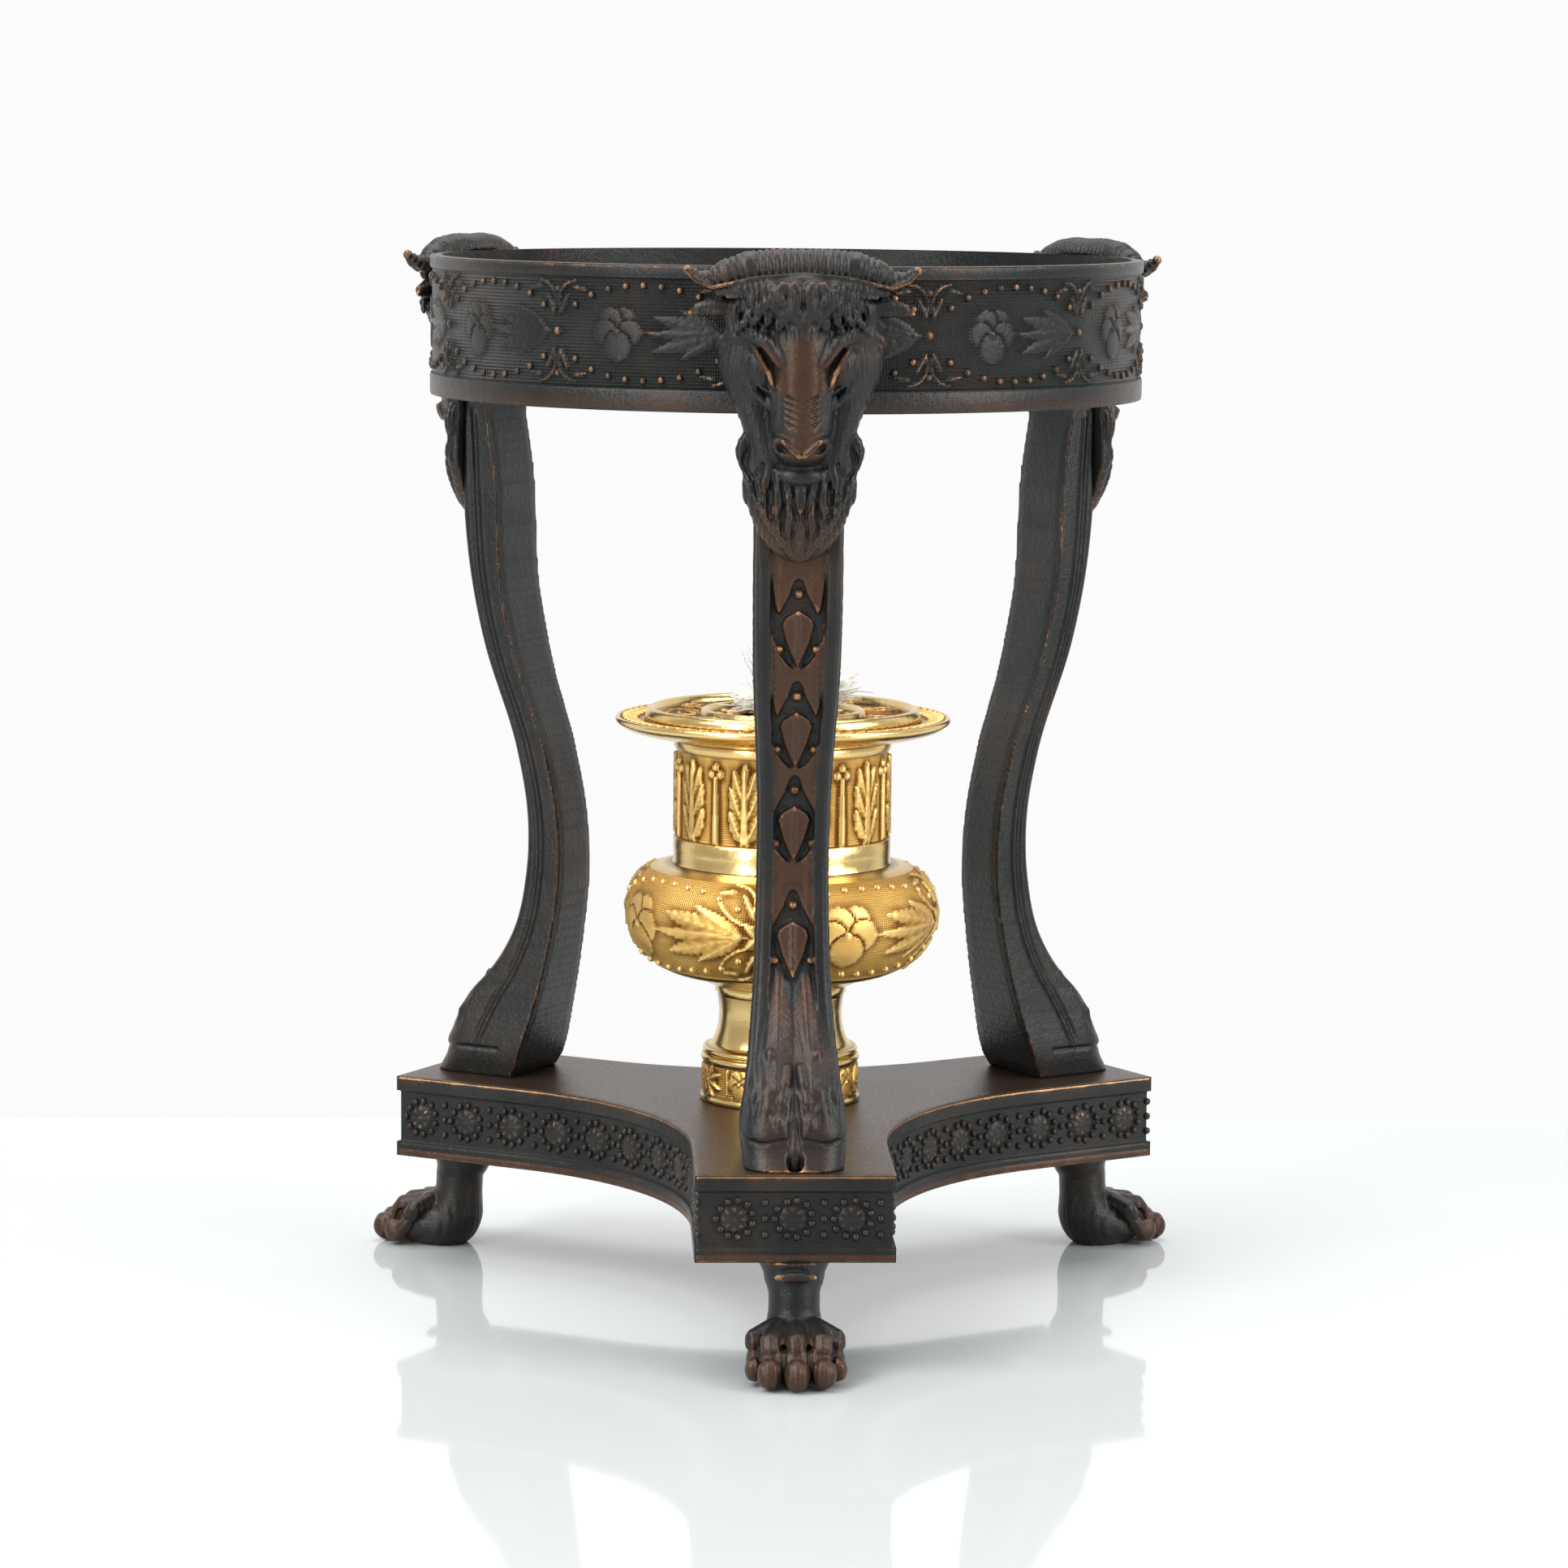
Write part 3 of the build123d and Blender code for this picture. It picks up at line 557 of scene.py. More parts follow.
def hatch(nt, pitch):
    """Fine crossed punching over a relief's ground, from the lay attribute in mm."""
    lay = node(nt, "ShaderNodeSeparateXYZ", {0: painted(nt, "lay", "Vector")}).outputs
    f = 2 * math.pi / pitch
    x = Value(nt, lay[0]) * (f * 0.8)
    y = Value(nt, lay[1]) * (f * 0.6)
    return (x + y).math("SINE") * (x - y).math("SINE") * painted(nt, "ground")


def bronze(name, hatched=0.0, gain=1.8):
    """Near-black patina over brown metal, rubbed to copper where it stands proud."""
    mat, nt, bsdf, at = material(name)
    wear = painted(nt, "wear")
    cloud = noise(nt, at, 70.0, 5.0)
    fine = noise(nt, at, 1500.0, 4.0, 0.7)
    streak = noise(nt, at, 330.0, 6.0, 0.7)
    green, black, brown = (0.0085, 0.0100, 0.0098), (0.0150, 0.0152, 0.0138), (0.034, 0.021, 0.0145)
    patina = ramp(nt, cloud, [(0.36, green), (0.53, black), (0.70, brown)])
    # The warm attribute mixes in a brown. On the mask, legs, paws and bands it is real brown patina; on the
    # plinth top it is partly a painted reflection of the gilt urn.
    patina = mix(nt, painted(nt, "warm") * (streak + 0.35), patina, (0.078, 0.029, 0.0095))
    rub = (wear * gain + (streak - 0.5) * 1.5 - 0.46).held()
    bare = ((rub - 0.30) * 1.6).held()
    hollow = (wear * -2.2).held()
    base = mix(nt, rub, patina, (0.125, 0.056, 0.028))
    base = mix(nt, bare, base, (0.44, 0.235, 0.105))
    base = mix(nt, hollow, base, (0.0050, 0.0055, 0.0052))
    height = fine * 0.9 + streak * 0.8
    if hatched:
        height = height + hatch(nt, 0.6) * hatched
    feed(nt, bsdf, {
        "Base Color": base,
        "Metallic": (rub * 0.7 + 0.25).held(),
        "Roughness": fine * 0.28 + 0.17 + hollow * 0.3,
        "Specular IOR Level": 0.36,
        "Normal": bump(nt, height, 0.6, 0.00022),
    })
    return mat


def gilt(name, hatched=0.0, tarnish=0.0):
    """Mercury gilding: matt and deeper in the grounds, burnished on the mouldings."""
    mat, nt, bsdf, at = material(name)
    wear, shine = painted(nt, "wear"), painted(nt, "shine")
    cloud = noise(nt, at, 110.0, 4.0)
    fine = noise(nt, at, 1100.0, 3.0, 0.7)
    matt = ramp(nt, cloud, [(0.3, (0.53, 0.30, 0.075)), (0.7, (0.68, 0.42, 0.12))])
    bright = ramp(nt, cloud, [(0.3, (0.68, 0.46, 0.16)), (0.75, (0.82, 0.63, 0.29))])
    matt = mix(nt, tarnish, matt, (0.20, 0.105, 0.028))
    base = mix(nt, shine, matt, bright)
    base = mix(nt, (wear * 2.0).held(), base, (0.80, 0.56, 0.22))
    base = mix(nt, (wear * -2.6).held(), base, (0.17, 0.068, 0.014))
    height = fine * 0.5
    if hatched:
        height = height + hatch(nt, 0.42) * hatched
    feed(nt, bsdf, {
        "Base Color": base,
        "Metallic": 1.0,
        "Roughness": fine * 0.2 + 0.36 - shine * 0.24,
        "Normal": bump(nt, height, 0.5, 0.00015),
    })
    return mat


def plain(name, colour, metallic, rough, grain=700.0, shade=0.25):
    mat, nt, bsdf, at = material(name)
    fine = noise(nt, at, grain, 5.0, 0.65)
    dark = tuple(c * (1 - shade) for c in colour)
    feed(nt, bsdf, {
        "Base Color": ramp(nt, fine, [(0.3, dark), (0.7, colour)]),
        "Metallic": metallic,
        "Roughness": fine * 0.2 + (rough - 0.1),
        "Normal": bump(nt, fine, 0.3, 0.0001),
    })
    return mat


BRONZE = bronze("patinated_bronze")
BRONZE_CHASED = bronze("patinated_bronze_chased", hatched=1.6, gain=0.95)
GILT = gilt("gilt_bronze", hatched=0.8)
GILT_DULL = gilt("gilt_bronze_tarnished", tarnish=0.8)
BRASS = plain("dull_brass", (0.62, 0.44, 0.18), 1.0, 0.4)
STEEL = plain("dark_steel", (0.22, 0.21, 0.20), 1.0, 0.45)
CORK = plain("cork", (0.52, 0.36, 0.21), 0.0, 0.85, 1500.0, 0.5)
COTTON = plain("raw_cotton", (0.76, 0.74, 0.66), 0.0, 0.9, 2500.0, 0.10)
soft = {"Subsurface Weight": 0.6, "Subsurface Scale": 0.002, "Subsurface Radius": (1, 1, 1)}
feed(COTTON.node_tree, COTTON.node_tree.nodes["Principled BSDF"], soft)


# ---------------------------------------------------------------- goat mask
def goat_mask():
    """Half a horned mask in clay, mirrored. x is sideways, y out from the ring's face, z up from its foot."""
    c = Clay((-0.6, -2.0, -23.0), (17.4, 8.4, 25.0), 0.24)
    # skull, cheeks and jaw
    c.ball((0, 0.4, 11.5), (11.0, 5.2, 9.6))
    c.ball((7.0, 0.4, 8.6), (4.8, 3.4, 6.6), 1.5)
    c.rope([(8.4, -0.2, 7), (6.4, 0.4, 1), (4.4, 0.9, -6)], [3.0, 2.7, 2.3], 1.4)
    c.rope([(2.9, 3.0, 11), (2.9, 3.3, 4), (2.7, 3.5, -1.5)], [2.0, 1.9, 1.6], 1.2)
    # muzzle with a flat bridge
    c.rope([(0, 2.0, 9), (0, 2.7, 0), (0, 2.9, -4.2)], [4.8, 3.5, 3.6], 1.4)
    c.rope([(0.9, 5.2, 12), (1.1, 5.5, 5), (1.0, 5.2, -2)], [1.5, 1.35, 1.5], 0.6)
    c.rope([(0, 5.2, 13), (0, 5.5, 5), (0, 5.3, -2)], [1.6, 1.45, 1.6], 0.6)
    c.ball((0, 4.4, -4.6), (3.9, 2.5, 2.2), 0.7)
    c.ball((2.7, 4.9, -4.0), (1.45, 1.5, 1.35), 0.5)
    c.rope([(3.6, 5.1, -3.3), (2.4, 6.5, -3.7), (1.3, 6.9, -4.9), (0, 7.1, -5.9)],
        [0.35, 0.5, 0.45, 0.4], 0.25)
    c.ball((2.7, 6.3, -4.7), (1.1, 0.9, 0.6), 0.2, True, 0.6)
    c.rope([(0, 7.3, -6.2), (0, 6.4, -7.7)], [0.3, 0.26], 0.2, True)
    c.ball((0, 2.9, -8.8), (3.4, 2.2, 1.6), 0.5)
    c.rope([(0, 5.8, -7.9), (1.9, 5.3, -7.5), (4.0, 3.5, -6.3)], [0.45, 0.42, 0.35], 0.2, True)
    for i in range(5):
        z = -1.6 + 0.95 * i
        c.rope([(0, 7.0, z - 0.2), (1.0, 6.85, z), (2.1, 6.1, z + 0.6)], 0.3, 0.2, True)
    # slanting eyes under a heavy brow
    c.ball((5.7, 5.3, 7.3), (1.5, 1.5, 3.2), 1.0, True, -0.42)
    c.ball((6.0, 3.75, 6.9), (1.5, 1.35, 2.7), 0.5, False, -0.42)
    c.rope([(7.6, 3.9, 10.6), (6.1, 5.0, 8.7), (4.7, 5.5, 6.1), (3.9, 5.4, 3.8)],
        [0.3, 0.42, 0.4, 0.25], 0.35)
    c.rope([(8.2, 3.3, 9.2), (7.6, 3.6, 6.8), (6.3, 4.0, 4.6), (4.6, 4.6, 3.4)],
        [0.25, 0.34, 0.32, 0.2], 0.5)
    c.rope([(8.0, 2.7, 6.0), (6.7, 3.3, 3.3), (4.9, 3.9, 1.4)], [0.4, 0.55, 0.4], 0.9)
    c.rope([(9.8, 2.4, 11.4), (7.6, 4.4, 11.9), (5.0, 5.7, 10.6), (3.1, 6.0, 7.6)],
        [0.9, 1.15, 1.05, 0.7], 0.9)
    # brow tufts
    for x, z, lean in ((3.2, 11.8, 0.8), (4.6, 12.6, 1.3), (6.2, 12.9, 1.7), (7.8, 12.4, 1.9)):
        c.rope([(x - 0.3, 5.3, z + 2.4), (x + lean * 0.3, 5.7, z + 0.8), (x + lean, 4.9, z - 0.9)],
            [0.5, 0.6, 0.25], 0.4)
    # forelock: curling locks in two layers
    c.ball((0, 3.0, 16.5), (9.6, 3.6, 3.6), 1.0)
    c.ball((0, 4.5, 18.9), (4.6, 1.7, 1.5), 0.8)
    locks = (
        (0.5, 18.0, 0.4, 10.8, 0.35, 6.9), (2.0, 18.0, 1.6, 12.2, -0.6, 6.8), (3.5, 17.8, 3.8, 13.0, 0.7,
            6.5),
        (5.2, 17.6, 6.0, 13.2, -0.7, 5.9), (6.8, 17.2, 8.4, 12.4, 0.7, 4.9), (8.2, 16.8, 10.2, 11.4, 0.6,
            3.6),
        (1.2, 18.4, 0.9, 13.6, -0.5, 7.3), (2.8, 18.4, 2.9, 14.4, 0.7, 7.1), (4.5, 18.2, 5.0, 14.6, -0.7,
            6.6),
        (6.2, 17.8, 7.4, 14.0, 0.7, 5.6), (9.0, 16.0, 10.9, 9.8, 0.5, 2.8),
    )
    for x0, z0, x1, z1, wave, deep in locks:
        t = np.linspace(0, 1, 9)
        x = x0 + (x1 - x0) * t + wave * np.sin(t * 6.0)
        path = np.stack([x, deep - 1.3 * (t - 0.45) ** 2 - 0.5, z0 + (z1 - z0) * t], -1)
        c.rope(path, 0.95 * (1.05 - 0.7 * t**1.8), 0.4)
    # ribbed horns meeting over the crown, with a second ridge below
    horn = [(-0.6, 1.9, 21.2), (3.5, 2.4, 21.3), (7.5, 2.6, 21.0), (10.6, 2.4, 20.2), (12.9, 2.4, 19.3),
        (14.6, 3.0, 19.6), (16.4, 3.6, 20.8)]
    c.rope(horn, [2.5, 2.55, 2.4, 2.1, 1.45, 1.0, 0.5], 0.4, ribs=0.17, pitch=0.95)
    c.rope([(1.8, 3.9, 18.9), (4.6, 4.6, 18.7), (8.4, 4.3, 18.1), (11.8, 3.3, 17.6)],
        [1.0, 1.3, 1.25, 0.7], 0.35, ribs=0.12, pitch=0.8)
    c.rope([(0, 4.9, 20.3), (3.0, 5.2, 20.0), (6.6, 5.3, 19.7), (10.0, 4.9, 18.9), (12.8, 4.1, 18.3),
        (15.2, 4.0, 19.3), (16.5, 3.9, 20.6)], 0.36, 0.22)
    c.rope([(4.0, 5.7, 17.8), (7.6, 5.4, 17.2), (10.6, 4.3, 16.9)], [0.25, 0.35, 0.25], 0.2)
    c.ball((16.4, 3.7, 20.8), (0.62, 0.62, 0.62), 0.3)
    # ears
    c.rope([(9.4, 1.9, 15.6), (12.2, 2.3, 15.5), (14.6, 2.3, 15.1), (16.0, 2.0, 14.6)],
        [1.4, 1.55, 1.0, 0.3], 0.4, flat=1.2)
    c.rope([(10.6, 3.6, 15.6), (12.6, 3.9, 15.4), (14.8, 3.2, 15.0)], [0.3, 0.55, 0.2], 0.25, True)
    # cheek fringe
    for i in range(11):
        t = i / 10
        x, z = 11.9 - 4.6 * t**1.4, 10.8 - 12.2 * t
        c.rope([(x - 1.8, 2.2, z + 1.4), (x - 0.5, 1.9, z), (x + 0.15, 0.8, z - 1.2)], [0.6, 0.62, 0.3], 0.2)
    # beard: a mass and its ruff, cut into wavy locks that hug it
    c.ball((0, 0.2, -11.9), (6.9, 3.1, 9.3), 0.8)
    c.ball((0, 0.2, -15.6), (5.3, 2.6, 5.7), 0.8)
    c.rope([(5.6, 0.3, -1.5), (6.3, 0.3, -6.0), (6.2, 0.2, -11.5), (4.6, 0.1, -16)],
        [1.1, 1.7, 2.0, 1.4], 0.9)

    def skin_of(x, z):
        return 0.2 + 3.1 * math.sqrt(max(0.05, 1 - (x / 7.9) ** 2 - ((z + 11.9) / 9.9) ** 2))

    def strand(x, top, low, wave, phase):
        path = []
        for t in np.linspace(0, 1, 11):
            z = top + (low - top) * t
            belly = 0.72 + 0.45 * math.sin(math.pi * min(1, 0.2 + t * 0.62)) - 0.42 * t**2
            px = x * belly + wave * math.sin(t * 8.5 + phase)
            path.append((px, skin_of(px, z), z))
        return path

    k = np.linspace(0, 1, 11)
    locks = (
        (0.0, -9.6, -21.2), (1.55, -9.2, -20.8), (3.1, -8.4, -20.2),
        (4.7, -7.0, -19.0), (6.2, -5.0, -17.0), (7.4, -3.0, -13.6),
    )
    for i, (x, top, low) in enumerate(locks):
        c.rope(strand(x, top, low, 0.42 if i else 0.0, i * 1.3), 0.78 * (1.05 - 0.5 * k**3), 0.18)
    cuts = ((0.8, -10.4, -20.0), (2.35, -9.4, -19.6), (3.9, -8.2, -18.6), (5.5, -6.4, -16.6),
        (6.9, -4.4, -13.0))
    for i, (x, top, low) in enumerate(cuts):
        path = [(px, py + 0.62, z) for px, py, z in strand(x, top, low, 0.42, i * 1.3 + 0.5)]
        c.rope(path, 0.18 + 0.42 * np.sin(math.pi * k) * np.abs(np.sin(5 * k + i)), 0.15, True)
    # hair lines, then the seats on ring and leg
    x, y, z = c.everywhere()
    hairy = 0.075 * ((z < -9.5) | ((z > 11) & (z < 18) & (x < 9.5))) + 0.04 * ((x > 3.6) & (z < 18))
    lines = np.sin(x * 8.5 + 1.9 * np.sin(z * 0.8) + 0.6 * np.sin(z * 2.1)) * hairy
    c.d += lines.astype(np.float32)
    on_ring = RING_R + 0.05 - np.hypot(x, RING_R + y)
    seat = np.where(z < 0, -0.4 - y, np.where(z < RING_H + 0.05, on_ring, -1.3 - y))
    c.d = np.maximum(c.d, seat.astype(np.float32))
    c.mirrored()
    verts, faces, attrs = c.skin(0.9)
    v, z = np.abs(verts[:, 0]), verts[:, 2]
    bridge = 0.7 * smooth01((3.6 - v) / 2.0) * smooth01((z + 7) / 2) * smooth01((13 - z) / 4)
    eyelids = 0.6 * smooth01(2.2 - np.hypot(v - 4.6 - 0.4 * (z - 7), (z - 7) / 2.0))
    attrs["warm"] = bridge + 0.4 * smooth01((-12 - z) / 6) + eyelids
    sides = smooth01((v - 2) / 1.5) * smooth01(10.5 - v)
    brow = smooth01((z - 9.5) / 1.5) * smooth01(17 - z)
    cheek = smooth01(z + 1) * smooth01((5 - z) / 1.5)
    attrs["wear"] *= 1 - 0.6 * sides * (brow + cheek)
    verts[:, 1] += RING_R
    verts[:, 2] += RING_Z
    return verts, faces, attrs


# ---------------------------------------------------------------- legs
def curve(points):
    """Smooth function through (height, value) points."""
    z, v = np.array(points, float).T
    m = np.gradient(v, z)

    def at(t):
        t = np.clip(t, z[0], z[-1])
        i = np.clip(np.searchsorted(z, t) - 1, 0, len(z) - 2)
        h = z[i + 1] - z[i]
        s = (t - z[i]) / h
        start = (2 * s**3 - 3 * s**2 + 1) * v[i] + (s**3 - 2 * s**2 + s) * h * m[i]
        return start + (3 * s**2 - 2 * s**3) * v[i + 1] + (s**3 - s**2) * h * m[i + 1]

    return at


def goat_leg():
    """Hoof, shin and strap. x is sideways, y the radius, z up from the plinth."""
    drawn = 110.8  # height that the outlines are drawn at
    f = LEG_H / drawn
    inner = curve([(0, 44.6), (10, 41.5), (22, 38.8), (33, 37.4), (43, 37.9), (53, 40.1), (66, 44.6),
        (78, 47.4), (98, 48.8), (drawn, 50.9)])
    outer = curve([(0, 60.3), (4, 58.2), (5, 58.3), (7, 57.5), (13, 53.7), (17, 50.0), (22, 46.8),
        (33, 43.9), (42, 43.7), (53, 45.7), (70, 51.3), (80, 53.5), (92, 54.9), (drawn, 54.7)])
    half = curve([(0, 7.3), (4.4, 7.8), (11, 6.9), (20, 5.9), (40, 5.1), (51, 5.1), (73, 6.1), (drawn, 6.2)])
    c = Clay((-0.6, 36.6, -0.6), (8.6, 61.0, 111.4), 0.28)
    x, y, z = c.everywhere()
    zz = z / f
    rin, rout, hw = inner(zz), outer(zz), half(zz)
    # front relief: side fillets and a sunk field, with a chain of lobed bells and pointed drops between beads
    shape = 0 * x + 0 * zz
    for tip, pitch in ((73.3, 16.0), (58.0, 15.3), (43.5, 14.5), (26.0, 17.5)):
        u = zz - tip
        drop = np.interp(u, (0, 1.5, 4, 6.6, 7.6, 9), (0, 0.8, 1.8, 2.5, 2.1, 0)) - x
        drop = np.clip(drop / 0.3, 0, 1) * (u > 0) * (u < 9)
        shape = np.maximum(shape, drop * (1.0 - 0.1 * x + 0.22 * mound(x / 0.3)))
        edge = np.interp(u, (7.7, 9.5, 12, 15), (2.9, 3.5, 3.9, 4.2)) - x
        cleft = x - np.interp(u, (7.7, 9.3, 11.2, 13, 13.8), (2.9, 2.1, 1.0, 0.5, -0.5))
        brow = pitch + np.interp(x, (0, 1, 2, 3, 3.9), (0.3, 0.5, 1.6, 3.0, 6.5)) - u
        bell = np.clip(np.minimum(np.minimum(edge, cleft), np.minimum(brow, (u - 7.6))) / 0.3, 0, 1)
        bell = bell * (0.6 + 0.2 * mound((x - 2.3) / 0.6) + 0.3 * mound((u - 8.8) / 1.2))
        shape = np.maximum(shape, bell)
        for bx, bz, br in ((2.6, 3.0, 0.72), (0.0, 11.2, 0.8)):
            q = 1 - ((x - bx) ** 2 + (u - bz) ** 2) / br**2
            shape = np.maximum(shape, 1.15 * np.sqrt(np.clip(q, 0, 1)))
    relief = (shape - 1.05) * smooth01((hw - 2.05 - x) / 0.3) * smooth01((zz - 20) / 6) * (zz < 93)
    above_hoof = smooth01((zz - 9) / 4)
    tendon = 0.75 * mound((x - 1.9 - 0.05 * (26 - zz)) / 0.85) * above_hoof * smooth01((30 - zz) / 6)
    relief = relief + tendon - 0.5 * mound(x / 0.8) * above_hoof * smooth01((28 - zz) / 5)
    corner = 1.1 + 3.2 * smooth01((15 - zz) / 9)
    qx, qy = x - (hw - corner), y - (rout + relief - corner)
    box = np.hypot(np.maximum(qx, 0), np.maximum(qy, 0)) - corner + np.minimum(np.maximum(qx, qy), 0)
    d = np.maximum(box, rin - y)
    # a strap at the back with a bead and groove along each side
    mid = rin + 0.52 * (rout - rin)
    strap = 0.38 * mound((y - mid) / 0.32) - 0.30 * mound((y - mid - 0.95) / 0.4)
    strap = strap - 0.12 * smooth01((mid - y) / 0.6)
    d = d - strap * smooth01((x - hw + 2) / 1.5) * smooth01((zz - 3) / 5) * smooth01((108 - zz) / 3)
    # oblique heel behind the hoof
    d = np.maximum(d, (44.9 - y) * 0.9 - zz * 0.55 + 0.25 * (zz < 3))
    hairy = smooth01((zz - 6) / 3) * smooth01((24 - zz) / 8) * smooth01((y - mid) / 2)
    d = d + 0.09 * np.sin(x * 6.0 + zz * 0.55 + np.sin(zz * 0.7)) * hairy
    # hoof: groove above its wall, cleft between the toes
    groove = np.abs(zz - 4.3 - 0.25 * np.sin(x)) - 0.16
    d = d + 0.30 * smooth01(1 - groove / 0.2) * (y > 47) * (groove < 0.2)
    c.d = d.astype(np.float32)
    c.rope([(0, 58.6, -2.0), (0, 59.2, 3.0), (0, 57.2, 8.2), (0, 55.2, 10.6)],
        [1.25, 1.2, 0.85, 0.35], 0.3, True)
    c.rope([(0, 57.7, -1.0), (0, 57.9, 3.0), (0, 56.4, 7.4)], [0.75, 0.75, 0.4], 0.2)
    # swellings and hair tufts over the hoof
    for bx, bz, bw, bh in ((3.3, 14.8, 0.95, 2.2), (3.5, 10.2, 1.15, 1.7), (2.2, 6.6, 0.95, 1.5),
        (5.6, 9.2, 0.8, 2.1)):
        c.ball((bx, float(outer(bz)) - 0.35 - 0.07 * bx * bx, bz), (bw, 1.2, bh), 0.6, False, -0.1)
    tufts = (
        (0.9, 14.2, 3.6, 0.5), (2.4, 15.2, 4.6, 0.9), (3.9, 14.2, 4.8, 1.2),
        (5.2, 12.6, 4.6, 1.2), (1.6, 11.6, 3.4, 0.3), (3.4, 10.8, 3.6, 0.6),
    )
    for x0, z0, ln, lean in tufts:
        r0 = float(outer(z0)) - 0.35 - 0.09 * x0**1.5
        r1 = float(outer(z0 - ln * 0.55)) + 0.05 - 0.09 * (x0 + lean * 0.5) ** 1.5
        r2 = float(outer(z0 - ln)) - 0.25 - 0.09 * (x0 + lean) ** 1.5
        c.rope([(x0, r0, z0), (x0 + lean * 0.7, r1, z0 - ln * 0.55), (x0 + lean, r2, z0 - ln)],
            [0.75, 0.8, 0.25], 0.35)
    x, y, z = c.everywhere()
    c.d = np.maximum(c.d, np.maximum(-z, z - LEG_H))
    c.d = np.maximum(c.d, np.where(z > LEG_H - 22.3, y - (RING_R - 0.4), -9).astype(np.float32))
    c.mirrored()
    verts, faces, attrs = c.skin(1.1)
    v, z = np.abs(verts[:, 0]), verts[:, 2]
    face = smooth01((verts[:, 1] - inner(z / f) - 0.55 * (outer(z / f) - inner(z / f))) / 0.8)
    proud = smooth01((verts[:, 1] - outer(z / f) + 0.8) / 0.25)
    flank = smooth01((v - half(z / f) + 2.3) / 0.3)
    shin = 0.5 * smooth01((z - 14) / 12) * smooth01((96 - z) / 6) + 0.2
    attrs["warm"] = face * proud * (1 - flank) * shin
    attrs["wear"] *= 1 - 0.5 * flank * face
    verts[:, 2] += PLINTH_TOP
    return verts, faces, attrs


# ---------------------------------------------------------------- paws
def lion_paw():
    """x is sideways, y the radius, z up from the floor."""
    u, h = ARM - 2.3, PLINTH_Z
    c = Clay((-0.6, u - 9.4, -0.6), (8.2, u + 15.0, h + 0.6), 0.2)
    ankle = ((-2.0, 0.5, 5.8), (-1.3, -2.2, 4.5), (-0.6, -5, 3.8), (-0.5, -7.5, 3.8), (0.1, -11, 4.4))
    c.rope([(0, u + y, h + z) for y, z, r in ankle], [r for y, z, r in ankle], 0.8)
    c.ball((0, u + 1.7, 3.4), (5.2, 4.9, 4.2), 1.6)
    c.ball((0, u + 5.0, 3.4), (6.0, 6.2, 3.9), 1.4)
    toes = ((0, 9.4, 1.7, 0, 12.1, 2.0), (3.75, 8.8, 1.6, 3.95, 11.2, 1.9), (6.0, 5.6, 1.35, 6.05, 8.3, 1.5))
    for x0, y0, r0, x1, y1, r1 in toes:
        c.rope([(x0 * 0.55, u + 3.0, 7.4), (x0, u + y0 - 1.2, 6.3)], [1.5, r0], 0.5)
        c.ball((x0, u + y0 - 0.7, 5.5), (r0, r0 * 1.1, r0), 0.3)
        c.ball((x1, u + y1, 2.5), (r1, r1 * 1.05, r1 * 1.18), 0.3)
        c.rope([(x0, u + y0, 4.0), (x1, u + y1 - 0.6, 2.0)], [r0 * 0.85, r1 * 0.9], 0.3)
    for x0, y0 in ((1.95, 11.2), (5.2, 9.0)):
        cleft = [(x0 * 0.75, u + 6.2, 6.6), (x0, u + y0 - 1.2, 5.4), (x0 * 1.02, u + y0 + 1.4, 0.8)]
        c.rope(cleft, [0.25, 0.5, 0.5], 0.35, True)
    c.ball((0, u + 3.7, h - 1.9), (3.2, 0.95, 0.85), 0.25)
    x, y, z = c.everywhere()
    c.d = c.d + (0.05 * np.sin(x * 6.3 + y) * smooth01((9 - z) / 3)).astype(np.float32)
    c.d = np.maximum(c.d, np.maximum(-z, z - h))
    c.mirrored()
    verts, faces, attrs = c.skin(0.8)
    attrs["warm"] = 0.6 * smooth01((9 - verts[:, 2]) / 4) * smooth01((verts[:, 1] - u - 4) / 4)
    return verts, faces, attrs


for maker, stem in ((goat_mask, "goat_mask"), (goat_leg, "leg"), (lion_paw, "paw_foot")):
    verts, faces, attrs = maker()
    for where, turn in TURNS.items():
        piece = make(f"{stem}_{where}_cast", turned(verts, turn), faces.tolist(), BRONZE, attrs)
        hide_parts(f"{stem}_{where}")

# ---------------------------------------------------------------- frieze ring
RING_REPEATS, RING_START = 12, -100
top, low = RING_Z + RING_H, RING_Z
half_t = 8.1
repeat = motif(MOTIF_MM, np.linspace(half_t, -half_t, 58), 104)
mid_z = (top - 1.95 + low + 3.35) / 2
proud = RING_R + 0.08  # the mouldings' skin, just off the CAD's
ring_parts = [
    line([
        (RING_R - 1.7, top + 0.06, 0, 0), (RING_R - 0.4, top + 0.06, 0.2, 0),
        (RING_R - 0.05, top - 0.04, 0.75, 0), (proud, top - 0.25, 0.75, 0), (proud, top - 0.7, 0.3, 0),
        (proud, top - 1.5, 0.2, 0), (RING_R - 0.1, top - 1.8, -0.2, 0),
    ]),
    (upright(RING_R - 0.28, mid_z + half_t, mid_z - half_t, 58), np.tile(repeat.h, (1, RING_REPEATS))),
    line([
        (RING_R - 0.1, low + 3.3, -0.3, 0), (proud, low + 2.9, 0.2, 0), (proud, low + 1.6, 0.15, 0.2),
        (proud, low + 0.35, 0.4, 0.35), (RING_R - 0.08, low + 0.02, 0.75, 0),
        (RING_R - 0.4, low - 0.06, 0.3, 0), (RING_R - 1.7, low - 0.06, 0, 0),
    ]),
]
path = ring_path(104 * RING_REPEATS, RING_START)
ring = swept(path, ring_parts)
at, out = [], []
